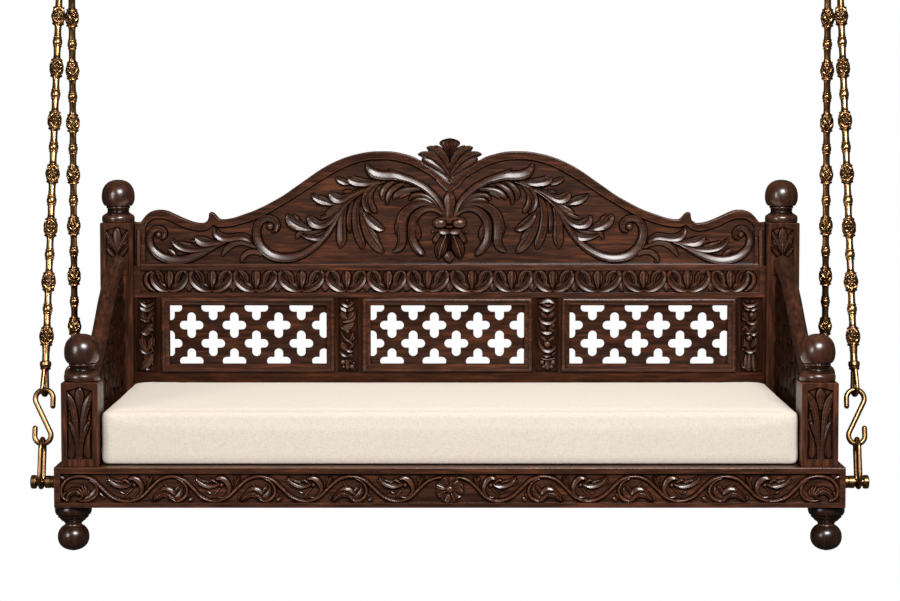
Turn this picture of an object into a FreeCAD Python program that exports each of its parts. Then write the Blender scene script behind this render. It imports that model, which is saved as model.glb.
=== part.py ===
import FreeCAD, Part
import math
import os

V = FreeCAD.Vector

# ---------------------------------------------------------------- dimensions (mm)
# Working frame: X across the swing, Y from the front posts' front face to the
# back, Z up from the top of the platform rails.  Everything is shifted at the
# end so that the origin lies on the ceiling, midway between the two brackets.

# platform
PLAT_HALF_W = 965.0        # half width over the side rails
PLAT_Y0 = -13.0            # front face of the front rail
PLAT_Y1 = 706.0            # back face of the back rail
RAIL_H = 99.0
RAIL_T = 40.0              # thickness of all four rails
RAIL_FIELD_X = 950.0       # carved recess in the front rail
RAIL_FIELD_Z = (-86.4, -14.6)
RAIL_FIELD_D = 9.0
BOARD_T = 18.0             # deck boards
CLEAT_W = 25.0
CLEAT_H = 26.0

# posts
POST = 90.0
POST_X = (858.0, 948.0)
REAR_POST_X = (858.0, 945.0)
FRONT_POST_Y = (0.0, 90.0)
REAR_POST_Y = (602.0, 692.0)
FRONT_POST_TOP = 206.5
REAR_POST_TOP = 569.3
TENON_X = (865.2, 924.8)
TENON_Y_F = (27.3, 80.0)
TENON_Y_R = (612.0, 665.7)
TENON_BOTTOM = -99.0

# finials and feet
FINIAL_R, REAR_FINIAL_R = 43.4, 44.8
FOOT_X, FOOT_Y_F, FOOT_Y_R = 927.4, 45.0, 647.0
FOOT_H = 114.0

# back
BACK_Y = 625.0             # front plane of the back's stiles and rails
BACK_T = 40.0
BACK_RAIL_Z = (52.0, 161.0)
FRIEZE_Z = (366.4, 451.0)
# stiles: inner and outer edge, then the carved inset's edges; the hand-laid row isn't quite even
LEFT_END = (784.9, 857.8, 798.0, 849.0)
LEFT_MID = (238.0, 312.8, 249.6, 303.0)
RIGHT_MID = (224.7, 303.2, 236.2, 295.0)
RIGHT_END = (778.5, 857.8, 789.7, 850.0)
FRAME_Y = (616.0, 640.4)   # moulding frames
FRAME_W = 22.6
JALI_Y = (640.6, 653.0)
CROSS_HALF_X = 20.4        # from a pierced cross's centre to the round centre of its side arms
CROSS_HALF_Z = 23.1        # the same for its upright arms
CROSS_ARM_R = 12.0
ROWS_A_Z = (288.2, 189.7)  # heights of the rows of crosses
ROWS_B_Z = (336.8, 238.4)
LEFT_A_X = (-704.2, -587.7, -466.6, -343.4)
LEFT_B_X = (-761.6, -645.3, -527.4, -405.1)
MID_A_X = (-157.7, -42.1, 76.5, 195.4)
MID_B_X = (-211.2, -99.9, 17.6, 135.5)
RIGHT_A_X = (330.4, 449.2, 568.4, 688.1)
RIGHT_B_X = (389.0, 509.1, 627.9, 748.0)

# arms
ARM_X = (877.0, 917.0)
ARM_T = 50.0
ARM_LINE = [(602.0, 456.0), (560.0, 450.5), (520.0, 440.0), (480.0, 422.0), (440.0, 400.0),
            (380.0, 363.0), (330.0, 326.0), (270.0, 285.0), (200.0, 248.0), (140.0, 213.0), (90.0, 178.0)]
PANEL_X = (885.0, 907.0)

# hanging gear
PIN_Z = -44.0
PIN_Y_F, PIN_Y_R = 45.0, 647.0
PIN_X_F, PIN_X_R = 1006.0, 1024.0   # middle of the pins' link seats, front and rear
PIN_R = 10.0
PIN_WAIST_R = 7.5
CAP_R = 17.0
COLLAR_R, COLLAR_X = 15.5, (965.0, 996.0)
LINK_WIRE_R = 5.5
LINK_R = 28.0              # half width of the link's centreline
HOOK_WIRE_R = 6.6
HOOK_R_UP, HOOK_R_LO = 22.0, 20.0
EYE_WIRE_R = 5.5
EYE_R = 16.0
BEAD_PITCH = 139.4
BEAD_FIRST_F, BEAD_FIRST_R = 362.6, 341.5   # along the chain, from the lower pin
BEAD_N = 7
BEAD_H = 46.0
BEAD_R = 18.7
BALL_R = 8.0
ROD_R = 9.4

# ceiling
HANGER_Y = 396.0           # hinge line; lies over the centre of mass
HANGER_Z = 1257.0
EYE_X_F, EYE_X_R = 1008.0, 979.5
HANGER_R = 8.0
EYE_BORE_R = 8.07
EYE_OUT_R = 22.0
EYE_T = 12.0
CEILING_Z = 1312.0
PLATE_T = 8.0
PLATE_HALF_X, PLATE_HALF_Y = 62.0, 62.0
SCREW_HALF = 45.0
SCREW_HOLE_R = 4.5
LUG_T = 9.0

# cushion
CUSH_X = 852.5
CUSH_Y = (27.0, 613.0)
CUSH_Z = (0.6, 134.0)
CUSH_CROWN = 10.0

os.makedirs("parts", exist_ok=True)
SHIFT = V(0, -HANGER_Y, -CEILING_Z)
made = []


def out(name, *shapes):
    """Write one node: one solid, or a group of separate solids."""
    solids = []
    for s in shapes:
        solids += s.Solids
    c = Part.makeCompound(solids) if len(solids) > 1 else solids[0].copy()
    c.translate(SHIFT)
    for s in solids:
        if not s.isValid() or s.Volume <= 0:
            raise ValueError("bad solid in " + name)
    c.exportStep("parts/" + name + ".step")
    made.append((name, len(solids), sum(s.Volume for s in solids)))


def box(x0, x1, y0, y1, z0, z1):
    x0, x1 = min(x0, x1), max(x0, x1)
    return Part.makeBox(x1 - x0, y1 - y0, z1 - z0, V(x0, y0, z0))


def mir(shape):
    return shape.mirror(V(0, 0, 0), V(1, 0, 0))


def cyl(r, h, p, d):
    return Part.makeCylinder(r, h, p, d)


def poly(pts):
    return Part.makePolygon([V(*p) for p in pts] + [V(*pts[0])])


def turned(profile, pos=V(0, 0, 0)):
    """Solid of revolution about Z from a list of (radius, z)."""
    pts = [(0.0, profile[0][1])] + list(profile) + [(0.0, profile[-1][1])]
    clean = []
    for p in pts:
        if not clean or math.dist(p, clean[-1]) > 1e-6:
            clean.append(p)
    f = Part.Face(poly([(r, 0, z) for r, z in clean]))
    s = f.revolve(V(0, 0, 0), V(0, 0, 1), 360)
    if s.Volume < 0:
        s.reverse()
    s = Part.Solid(s.Shells[0]) if s.ShapeType != "Solid" else s
    s.translate(pos)
    return s


def arc(cx, cz, r, a0, a1, n):
    return [(cx + r * math.cos(math.radians(a0 + (a1 - a0) * i / n)),
             cz + r * math.sin(math.radians(a0 + (a1 - a0) * i / n))) for i in range(n + 1)]


def ell(cx, cz, rx, rz, a0, a1, n):
    return [(cx + rx * math.cos(math.radians(a0 + (a1 - a0) * i / n)),
             cz + rz * math.sin(math.radians(a0 + (a1 - a0) * i / n))) for i in range(n + 1)]


def chamfer_edges(shape, size, test):
    es = [e for e in shape.Edges if test(e)]
    return shape.makeChamfer(size, es)


# ---------------------------------------------------------------- platform
def pin_hole(x0, x1, y):
    return cyl(PIN_R + 0.2, x1 - x0, V(x0, y, PIN_Z), V(1, 0, 0))


foot_bores = [cyl(13.1, 36, V(s * FOOT_X, y, -RAIL_H - 1), V(0, 0, 1)) for s in (-1, 1) for y in (FOOT_Y_F, FOOT_Y_R)]

front = box(-PLAT_HALF_W, PLAT_HALF_W, PLAT_Y0, PLAT_Y0 + RAIL_T, -RAIL_H, 0)
front = chamfer_edges(front, 1.6, lambda e: e.BoundBox.YMax < PLAT_Y0 + 0.1)
front = front.cut(box(-RAIL_FIELD_X, RAIL_FIELD_X, PLAT_Y0 - 1, PLAT_Y0 + RAIL_FIELD_D, RAIL_FIELD_Z[0], RAIL_FIELD_Z[1]))
out("front_rail", front)
back = box(-PLAT_HALF_W, PLAT_HALF_W, PLAT_Y1 - RAIL_T, PLAT_Y1, -RAIL_H, 0)
back = chamfer_edges(back, 1.6, lambda e: e.BoundBox.YMin > PLAT_Y1 - 0.1)
out("back_rail", back)
side = box(PLAT_HALF_W - RAIL_T, PLAT_HALF_W, PLAT_Y0 + RAIL_T, PLAT_Y1 - RAIL_T, -RAIL_H, 0)
for y in (PIN_Y_F, PIN_Y_R):
    side = side.cut(pin_hole(900, 980, y))
for b in foot_bores[2:]:
    side = side.cut(b)
out("right_side_rail", side)
out("left_side_rail", mir(side))

FY0, FY1 = PLAT_Y0 + RAIL_T, PLAT_Y1 - RAIL_T
cz0, cz1 = -BOARD_T - CLEAT_H, -BOARD_T
cleats = [box(-838, 838, FY0, FY0 + CLEAT_W, cz0, cz1), box(-838, 838, FY1 - CLEAT_W, FY1, cz0, cz1)]
sc = box(PLAT_HALF_W - RAIL_T - CLEAT_W, PLAT_HALF_W - RAIL_T, 90, 602, cz0, cz1)
out("deck_cleats", cleats[0], cleats[1], sc, mir(sc))

BEARER_X = (-828.0, -414.0, 0.0, 414.0, 828.0)
BEARER_W = 44.0
SLAT_N = 5
slat_y0, slat_y1, slat_gap = FY0 + 2.0, FY1 - 2.0, 5.0
slat_w = (slat_y1 - slat_y0 - slat_gap * (SLAT_N - 1)) / SLAT_N
slat_c = [slat_y0 + slat_w / 2 + i * (slat_w + slat_gap) for i in range(SLAT_N)]
SCREW_R, SCREW_L = 2.5, 40.0
bearers, slats, screws = [], [], []
for bx in BEARER_X:
    w = BEARER_W if abs(bx) < 700 else 20.0
    b = box(bx - w / 2, bx + w / 2, FY0, FY1, -84, -BOARD_T)
    b = b.cut(box(bx - w, bx + w, FY0 - 1, FY0 + CLEAT_W + 0.2, cz0 - 0.2, cz1 + 1))
    b = b.cut(box(bx - w, bx + w, FY1 - CLEAT_W - 0.2, FY1 + 1, cz0 - 0.2, cz1 + 1))
    for y in slat_c:
        b = b.cut(cyl(SCREW_R, SCREW_L, V(bx, y, -SCREW_L), V(0, 0, 1)))
    bearers.append(b)
for y in slat_c:
    s = box(-856, 856, y - slat_w / 2, y + slat_w / 2, -BOARD_T, 0)
    for bx in BEARER_X:
        s = s.cut(cyl(SCREW_R, BOARD_T + 2, V(bx, y, -BOARD_T - 1), V(0, 0, 1)))
        s = s.cut(Part.makeCone(SCREW_R, 5.2, 3.2, V(bx, y, -3.2), V(0, 0, 1)))
        head = Part.makeCone(SCREW_R - 0.1, 4.6, 2.9, V(bx, y, -3.2), V(0, 0, 1))
        screws.append(head.fuse(cyl(SCREW_R - 0.05, SCREW_L - 4.0, V(bx, y, -SCREW_L + 0.6), V(0, 0, 1))).removeSplitter())
    slats.append(s)
out("cross_bearers", *bearers)
out("seat_boards", *slats)
out("deck_screws", *screws)
eb = box(858.2, PLAT_HALF_W - RAIL_T - 0.4, 92, 600, -BOARD_T, 0)
out("end_boards", eb, mir(eb))

# ---------------------------------------------------------------- feet: block, step, taper, neck, bun
def full_ell(cz, rx, rz, a0_, a1_, n, p=2.2):
    """Arc of a slightly squared ellipse centred on the axis."""
    out_ = []
    for i in range(n + 1):
        t = math.radians(a0_ + (a1_ - a0_) * i / n)
        c_, s_ = math.cos(t), math.sin(t)
        out_.append((rx * abs(c_) ** (2 / p), cz + math.copysign(rz * abs(s_) ** (2 / p), s_)))
    return out_


foot_profile = [(13.0, 30.0), (13.0, 0.0), (41.0, 0.0), (42.9, -2.0), (42.9, -22.4), (41.8, -24.4), (38.6, -25.6), (37.5, -27.2), (37.5, -30.6),
                (36.2, -32.2), (33.4, -33.4), (32.4, -35.0), (31.0, -37.2), (27.4, -40.4), (23.2, -43.2), (21.0, -46.0), (20.6, -49.2)] \
    + full_ell(-80.0, 38.6, 33.6, 58.0, -78, 22) + [(7.6, -FOOT_H + 0.3), (6.6, -FOOT_H)]


def foot(x, y):
    return turned([(r, z) for r, z in foot_profile], V(x, y, -RAIL_H))


out("front_feet", foot(FOOT_X, FOOT_Y_F), foot(-FOOT_X, FOOT_Y_F))
out("rear_feet", foot(FOOT_X, FOOT_Y_R), foot(-FOOT_X, FOOT_Y_R))


# ---------------------------------------------------------------- posts
def panel_recess(x0, x1, z0, zc, za, y, d):
    """Pointed-arch recess cut d deep from the face at y."""
    xm = (x0 + x1) / 2
    w = poly([(x0, y - 1, z0), (x1, y - 1, z0), (x1, y - 1, zc), (xm, y - 1, za), (x0, y - 1, zc)])
    return Part.Face(w).extrude(V(0, d + 1, 0))


PX0, PX1 = POST_X
PXM = (PX0 + PX1) / 2


def post(y0, y1, top, ty, panel, pin_y, px1):
    p = box(PX0, px1, y0, y1, 0, top)
    p = chamfer_edges(p, 2.2, lambda e: e.BoundBox.ZMin > top - 0.1)
    t = box(TENON_X[0], TENON_X[1], ty[0], ty[1], TENON_BOTTOM, 1)
    p = p.fuse(t).removeSplitter()
    p = p.cut(panel_recess(*panel, y0, 7.0))
    p = p.cut(cyl(PIN_R + 0.2, 90, V(850, pin_y, PIN_Z), V(1, 0, 0)))
    p = p.cut(cyl(10.05, 31, V((PX0 + px1) / 2, (y0 + y1) / 2, top - 30.5), V(0, 0, 1)))
    return p


fp = post(*FRONT_POST_Y, FRONT_POST_TOP, TENON_Y_F, (871.5, 934.5, 18.0, 187.0, 196.3), PIN_Y_F, PX1)
rp = post(*REAR_POST_Y, REAR_POST_TOP, TENON_Y_R, (867.5, 930.0, 425.0, 550.1, 559.8), PIN_Y_R, REAR_POST_X[1])
for b in foot_bores[2:]:
    fp = fp.cut(b)
    rp = rp.cut(b)
# dowel holes for the arm
arm_dowel = [(90.0, -1, 178.0), (602.0, 1, 452.0)]
fp = fp.cut(cyl(9.05, 24, V((ARM_X[0] + ARM_X[1]) / 2, 66.5, 178.0), V(0, 1, 0)))
rp = rp.cut(cyl(9.05, 24, V((ARM_X[0] + ARM_X[1]) / 2, 601.5, 452.0), V(0, 1, 0)))
# mortises for the two back rails, and their peg holes
TEN_L, TEN_T = 32.0, 14.0
ty0 = BACK_Y + (BACK_T - TEN_T) / 2
tenons = [(BACK_RAIL_Z[0] + 12, BACK_RAIL_Z[1] - 12), (FRIEZE_Z[0] + 12, FRIEZE_Z[1] - 12)]
pegs = []
for z0, z1 in tenons:
    rp = rp.cut(box(PX0 - 1, PX0 + TEN_L + 0.6, ty0 - 0.1, ty0 + TEN_T + 0.1, z0 - 0.1, z1 + 0.1))
    zc = (z0 + z1) / 2
    rp = rp.cut(cyl(4.55, 70, V(PX0 + 15, 693.0, zc), V(0, -1, 0)))
    pegs.append(cyl(4.5, 66.5, V(PX0 + 15, 691.8, zc), V(0, -1, 0)))
out("right_front_post", fp)
out("left_front_post", mir(fp))
out("right_rear_post", rp)
out("left_rear_post", mir(rp))
out("joint_pegs", *(pegs + [mir(p) for p in pegs]))

# ball finials: dowel, torus base, cove, ring, ball
def fin(ball):
    return [(10.0, -30.0), (10.0, 0.0), (41.5, 0.0), (43.6, 2.0), (44.0, 6.0), (44.0, 13.0), (42.8, 17.0), (40.0, 20.0), (37.6, 20.9),
       (36.4, 21.2), (36.4, 22.8)] + ell(37.5, 31.0, 8.6, 8.2, 262, 158, 8)[1:] + \
      [(31.2, 35.4), (29.0, 36.4), (28.0, 37.4), (31.4, 38.2), (32.4, 40.4), (32.2, 42.6), (31.0, 44.0), (33.0, 44.6)] + \
      full_ell(69.0, ball, 37.4, -37, 0, 8, 2.3)[:-1] + full_ell(69.0, ball, 46.6, 0, 90, 18, 2.3)


a = turned(fin(FINIAL_R), V(PXM, 45, FRONT_POST_TOP))
b = turned(fin(REAR_FINIAL_R), V((REAR_POST_X[0] + REAR_POST_X[1]) / 2, 647, REAR_POST_TOP))
out("front_finials", a, mir(a))
out("rear_finials", b, mir(b))

# ---------------------------------------------------------------- back
BY0, BY1 = BACK_Y, BACK_Y + BACK_T


def back_rail(z0, z1, tz):
    r = box(-857.8, 857.8, BY0, BY1, z0, z1)
    t = box(PX0 - 1, PX0 + TEN_L, ty0, ty0 + TEN_T, tz[0], tz[1])
    r = r.fuse(t).fuse(mir(t)).removeSplitter()
    h = cyl(4.55, 80, V(PX0 + 15, 700, (tz[0] + tz[1]) / 2), V(0, -1, 0))
    return r.cut(h).cut(mir(h))


out("back_bottom_rail", back_rail(*BACK_RAIL_Z, tenons[0]))
fr = back_rail(*FRIEZE_Z, tenons[1])
fr = fr.cut(box(-841, 841, BY0 - 1, BY0 + 6, 379.0, 439.4))
out("frieze_rail", fr)

SZ0, SZ1 = BACK_RAIL_Z[1] + 0.2, FRIEZE_Z[0] - 0.2


def stile(x0, x1, ix0, ix1):
    s = box(x0, x1, BY0, BY1, SZ0, SZ1)
    return s.cut(box(ix0, ix1, BY0 - 1, BY0 + 7, SZ0 + 1.5, SZ1 - 1.5))


out("right_end_stile", stile(*RIGHT_END))
out("left_end_stile", mir(stile(*LEFT_END)))
out("right_mid_stile", stile(*RIGHT_MID))
out("left_mid_stile", mir(stile(*LEFT_MID)))


def cross(x, z):
    """Four-armed pierced cross: two round-ended slots."""
    c = None
    for hx, hz in ((CROSS_HALF_X, 0.0), (0.0, CROSS_HALF_Z)):
        r = CROSS_ARM_R
        s = box(-hx - (r if hx == 0 else 0), hx + (r if hx == 0 else 0), -15, 15, -hz - (r if hz == 0 else 0), hz + (r if hz == 0 else 0))
        for e in (-1, 1):
            s = s.fuse(cyl(r, 30, V(e * hx, -15, e * hz), V(0, 1, 0)))
        c = s if c is None else c.fuse(s)
    c = c.removeSplitter()
    c.translate(V(x, (JALI_Y[0] + JALI_Y[1]) / 2, z))
    return c


def jali(x0, x1, xs_a, xs_b):
    """Pierced board; the holes stop just behind the moulding frame's inner edge."""
    p = box(x0, x1, JALI_Y[0], JALI_Y[1], SZ0 + 0.2, SZ1 - 0.2)
    w = FRAME_W - 1.0
    clip = box(x0 + w, x1 - w, JALI_Y[0] - 30, JALI_Y[1] + 30, SZ0 + w, SZ1 - w)
    for zs, xs in ((ROWS_A_Z, xs_a), (ROWS_B_Z, xs_b)):
        for z in zs:
            for x in xs:
                k = cross(x, z).common(clip)
                if k.Volume > 200:
                    p = p.cut(k)
    return p


LX = (-LEFT_END[0] + 0.2, -LEFT_MID[1] - 0.2)
MX = (-LEFT_MID[0] + 0.2, RIGHT_MID[0] - 0.2)
RX = (RIGHT_MID[1] + 0.2, RIGHT_END[0] - 0.2)
out("left_jali_panel", jali(LX[0], LX[1], LEFT_A_X, LEFT_B_X))
out("centre_jali_panel", jali(MX[0], MX[1], MID_A_X, MID_B_X))
out("right_jali_panel", jali(RX[0], RX[1], RIGHT_A_X, RIGHT_B_X))


def frame(x0, x1):
    """Four mitred strips with a stepped, hollowed moulding section."""
    z0, z1 = SZ0 + 0.3, SZ1 - 0.3
    y0, y1 = FRAME_Y
    w = FRAME_W
    sec = [(0, y1), (0, y0 + 5), (2.5, y0 + 1.2), (6.5, y0), (10.0, y0 + 2.0), (11.0, y0 + 6.0), (16.0, y0 + 10.5), (w - 1.5, y0 + 13.0), (w, y0 + 16.0), (w, y1)]
    strips = []
    for side_ in range(4):
        if side_ in (0, 2):
            ln = x1 - x0
        else:
            ln = z1 - z0
        f = Part.Face(poly([(0, y, d) for d, y in sec]))
        s = f.extrude(V(ln, 0, 0))
        # mitre both ends
        for e in (0, 1):
            if e == 0:
                wd = poly([(-1, y0 - 5, -1.0), (w + 4, y0 - 5, w + 4.0), (-1, y0 - 5, w + 4.0)])
            else:
                wd = poly([(ln + 1, y0 - 5, -1.0), (ln - w - 4, y0 - 5, w + 4.0), (ln + 1, y0 - 5, w + 4.0)])
            s = s.cut(Part.Face(wd).extrude(V(0, y1 - y0 + 10, 0)))
        if side_ == 0:
            s.translate(V(x0, 0, z0))
        elif side_ == 1:
            s.rotate(V(0, 0, 0), V(0, 1, 0), -90)
            s.translate(V(x1, 0, z0))
        elif side_ == 2:
            s.rotate(V(0, 0, 0), V(0, 1, 0), 180)
            s.translate(V(x1, 0, z1))
        else:
            s.rotate(V(0, 0, 0), V(0, 1, 0), 90)
            s.translate(V(x0, 0, z1))
        strips.append(s)
    return strips


out("left_moulding_frame", *frame(*LX))
out("centre_moulding_frame", *frame(*MX))
out("right_moulding_frame", *frame(*RX))

# crest board: outline of the left half, from the rail up over the scroll and the arch
CREST = [(-853.0, 569.5), (-839.3, 569.5), (-836.3, 573.6), (-825.1, 587.4), (-811.2, 598.5), (-797.4, 602.6),
         (-783.5, 603.1), (-767.0, 599.9), (-747.6, 591.4), (-728.4, 582.5), (-709.0, 574.4), (-692.5, 569.2),
         (-676.0, 567.3), (-664.8, 569.2), (-656.7, 574.9), (-653.6, 584.7), (-653.1, 592.8), (-648.2, 597.1),
         (-641.1, 594.2), (-634.4, 587.4), (-627.4, 579.8), (-617.9, 577.1), (-604.1, 578.2), (-584.6, 582.5),
         (-562.6, 590.1), (-534.9, 599.9), (-507.0, 612.3), (-479.3, 626.9), (-451.6, 642.7), (-416.8, 667.0),
         (-387.3, 687.6), (-358.0, 708.2), (-328.4, 725.7), (-299.2, 739.5), (-269.7, 750.1), (-240.4, 757.1),
         (-211.2, 761.4), (-181.7, 762.2), (-152.5, 760.9), (-123.1, 754.9), (-99.8, 747.6), (-82.2, 738.2),
         (-70.3, 728.7), (-49.8, 715.5), (-29.2, 699.2), (-11.6, 684.6), (0.0, 678.5)]
CREST_IN = [(-826.7, 455.5), (-826.7, 555.4), (-822.6, 563.8), (-811.4, 574.9), (-797.5, 580.3), (-781.0, 580.3),
            (-764.2, 576.3), (-742.4, 566.5), (-720.2, 556.2), (-698.3, 550.0), (-676.1, 547.2), (-659.5, 550.0),
            (-648.4, 557.0), (-640.0, 563.8), (-631.9, 558.9), (-618.0, 557.0), (-595.8, 558.9), (-568.2, 565.1),
            (-540.5, 573.6), (-507.1, 587.4), (-479.4, 602.6), (-451.7, 619.1), (-411.0, 643.5), (-375.7, 667.0),
            (-340.4, 688.9), (-305.2, 709.5), (-270.0, 725.7), (-234.8, 736.0), (-199.6, 740.3), (-164.5, 739.5),
            (-129.3, 733.6), (-99.8, 724.1), (-70.3, 708.2), (-41.1, 688.9), (-26.5, 674.3), (-11.6, 659.7), (0.0, 652.0)]


def symmetric(half, y):
    pts = [(x, y, z) for x, z in half]
    pts += [(-x, y, z) for x, z in reversed(half) if x < -0.01]
    return pts


CZ0 = FRIEZE_Z[1] + 0.2
cb = Part.Face(poly(symmetric([(-853.0, CZ0)] + CREST, BY0))).extrude(V(0, BACK_T - 4, 0))
ci = Part.Face(poly(symmetric(CREST_IN, BY0 - 1))).extrude(V(0, 11, 0))
cb = cb.cut(ci)
# notch that takes the palmette's foot
PALM = [(-9.5, 664.0), (-30.0, 686.0), (-46.0, 700.0), (-66.0, 715.0), (-84.0, 731.0), (-92.0, 742.0), (-90.5, 753.0), (-80.0, 756.0),
        (-72.0, 762.0), (-66.0, 773.0), (-57.0, 776.0), (-46.0, 772.0), (-36.0, 775.5), (-29.5, 774.5),
        (-26.0, 783.0), (-17.0, 792.0), (-7.0, 797.0), (0.0, 797.6)]
pl = Part.Face(poly(symmetric(PALM, BY0 - 9))).extrude(V(0, BACK_T - 2, 0))
cb = cb.cut(Part.Face(poly(symmetric(PALM, BY0 - 12))).extrude(V(0, BACK_T + 20, 0)))
cb = sorted(cb.Solids, key=lambda s: s.Volume)[-1]
out("crest_board", cb)
out("crest_palmette", pl)

# ---------------------------------------------------------------- arms and side panels
def spline_pts(pts, n):
    c = Part.BSplineCurve()
    c.interpolate([V(0, y, z) for y, z in pts])
    a0_, a1_ = c.FirstParameter, c.LastParameter
    return c, [c.value(a0_ + (a1_ - a0_) * i / n) for i in range(n + 1)], [c.tangent(a0_ + (a1_ - a0_) * i / n)[0] for i in range(n + 1)]


curve, cp, ct = spline_pts(ARM_LINE, 32)
AXM = (ARM_X[0] + ARM_X[1]) / 2


def arm_solid(hw, ht):
    """Rounded rail: stations along the arm's line, ruled to a closed solid."""
    stations = []
    for p, t in zip(cp, ct):
        n = V(0, -t.z, t.y)
        if n.z < 0:
            n = n * -1
        ring = []
        for k in range(16):
            a = 2 * math.pi * (k + 0.5) / 16
            ca, sa = math.cos(a), math.sin(a)
            ex = 0.62
            x = math.copysign(abs(ca) ** ex, ca) * hw
            z = math.copysign(abs(sa) ** ex, sa) * ht
            q = V(AXM + x, p.y, p.z) + n * z
            ring.append(q)
        stations.append(ring)
    # end rings lie flat on the post faces
    for ring, y in ((stations[0], 602.0), (stations[-1], 90.0)):
        for k, q in enumerate(ring):
            ring[k] = V(q.x, y, q.z)
    wires = [Part.makePolygon(r + [r[0]]) for r in stations]
    return Part.makeLoft(wires, True, True)


arm = arm_solid((ARM_X[1] - ARM_X[0]) / 2, ARM_T / 2)
clip = box(ARM_X[0] - 5, ARM_X[1] + 5, 90.0, 602.0, 0, 700)
arm = arm.common(clip)
arm = arm.fuse(cyl(9.0, 25, V(AXM, 66.9, 178.0), V(0, 1, 0))).fuse(cyl(9.0, 25, V(AXM, 600.0, 452.0), V(0, 1, 0))).removeSplitter()
arm = sorted(arm.Solids, key=lambda s: s.Volume)[-1]
out("right_arm", arm)
out("left_arm", mir(arm))

outline = [(PANEL_X[0], 90.3, 0.3), (PANEL_X[0], 601.7, 0.3)]
top = [(PANEL_X[0], min(max(p.y, 90.3), 601.7), p.z) for p in cp]
w = poly(outline + top)
panel = Part.Face(w).extrude(V(PANEL_X[1] - PANEL_X[0], 0, 0))
grown = arm_solid((ARM_X[1] - ARM_X[0]) / 2 + 0.2, ARM_T / 2 + 0.2)
panel = panel.cut(grown)
panel = sorted(panel.Solids, key=lambda s: s.Volume)[-1]
bb = panel.BoundBox
out("right_arm_panel", panel)
out("left_arm_panel", mir(panel))


# ---------------------------------------------------------------- hanging pins and what holds them
def turned_x(profile, y, z):
    s = turned(profile)
    s.rotate(V(0, 0, 0), V(0, 1, 0), 90)
    s.translate(V(0, y, z))
    return s


def pin_profile(seat):
    return [(PIN_R, 838.0), (PIN_R, seat - 9.5), (PIN_R, seat - 8.0), (PIN_WAIST_R + 0.6, seat - 5.5), (PIN_WAIST_R, seat - 3.0), (PIN_WAIST_R, seat + 3.0),
            (PIN_WAIST_R + 0.6, seat + 5.5), (PIN_R, seat + 8.0), (PIN_R, seat + 10.5), (14.5, seat + 11.0), (CAP_R - 0.6, seat + 12.0), (CAP_R, seat + 13.5),
            (CAP_R, seat + 21.5), (CAP_R - 1.2, seat + 23.8), (CAP_R - 4.0, seat + 25.0)]


pins, collars, washers, nuts = [], [], [], []
for y, seat in ((PIN_Y_F, PIN_X_F), (PIN_Y_R, PIN_X_R)):
    p = turned_x(pin_profile(seat), y, PIN_Z)
    pins += [p, mir(p)]
    cpf = [(COLLAR_R - 1.0, 965.0), (COLLAR_R, 966.2), (COLLAR_R, 979.0), (COLLAR_R - 1.3, 980.0), (COLLAR_R - 1.3, 981.4), (COLLAR_R, 982.4),
           (COLLAR_R, 994.4), (COLLAR_R - 1.4, 996.0)]
    c = turned_x(cpf, y, PIN_Z).cut(cyl(PIN_R + 0.1, 60, V(950, y, PIN_Z), V(1, 0, 0)))
    collars += [c, mir(c)]
    ws = cyl(17.4, 3.0, V(862.0, y, PIN_Z), V(1, 0, 0)).cut(cyl(PIN_R + 0.1, 9, V(860, y, PIN_Z), V(1, 0, 0)))
    washers += [ws, mir(ws)]
    hexw = Part.makePolygon([V(845.8, y + 17.3 * math.cos(math.radians(60 * k)), PIN_Z + 17.3 * math.sin(math.radians(60 * k))) for k in range(7)])
    nt = Part.Face(hexw).extrude(V(16.0, 0, 0)).cut(cyl(PIN_R + 0.05, 30, V(840, y, PIN_Z), V(1, 0, 0)))
    nuts += [nt, mir(nt)]
out("hanging_pins", *pins)
out("pin_collars", *collars)
out("pin_washers", *washers)
out("pin_nuts", *nuts)


# ---------------------------------------------------------------- chains
def wire_solid(edges, r, start, direction):
    w = Part.Wire(edges)
    c = Part.Wire([Part.Circle(start, direction, r).toShape()])
    s = w.makePipeShell([c], True, False)
    return s


def arc_edge(c, r, a0_, a1_, ux, uz):
    """Arc in the plane spanned by ux and uz, angles in degrees."""
    f = lambda a_: c + ux * (r * math.cos(math.radians(a_))) + uz * (r * math.sin(math.radians(a_)))
    return Part.Arc(f(a0_), f((a0_ + a1_) / 2), f(a1_)).toShape(), f(a0_), f(a1_)


LINK_BOTTOM = -(PIN_WAIST_R + LINK_WIRE_R + 0.1)
HOOK_LO = 113.8
LINK_TOP = HOOK_LO - HOOK_R_LO + HOOK_WIRE_R + LINK_WIRE_R + 0.1
HOOK_UP = 206.5
EYE_BOTTOM = HOOK_UP + HOOK_R_UP - HOOK_WIRE_R - EYE_WIRE_R - 0.5
UX, UY, UZ = V(1, 0, 0), V(0, 1, 0), V(0, 0, 1)


def stadium(z0, z1, r, wr, turn):
    """Closed oval of round wire; z0 and z1 are the centreline's ends."""
    d = V(math.sin(math.radians(turn)), math.cos(math.radians(turn)), 0)
    lo, hi = V(0, 0, z0 + r), V(0, 0, z1 - r)
    edges = [Part.makeLine(lo + d * r, hi + d * r), arc_edge(hi, r, 0, 90, d, UZ)[0], arc_edge(hi, r, 90, 180, d, UZ)[0],
             Part.makeLine(hi - d * r, lo - d * r), arc_edge(lo, r, 180, 270, d, UZ)[0], arc_edge(lo, r, 270, 360, d, UZ)[0]]
    return wire_solid(edges, wr, lo + d * r, UZ)


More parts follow.
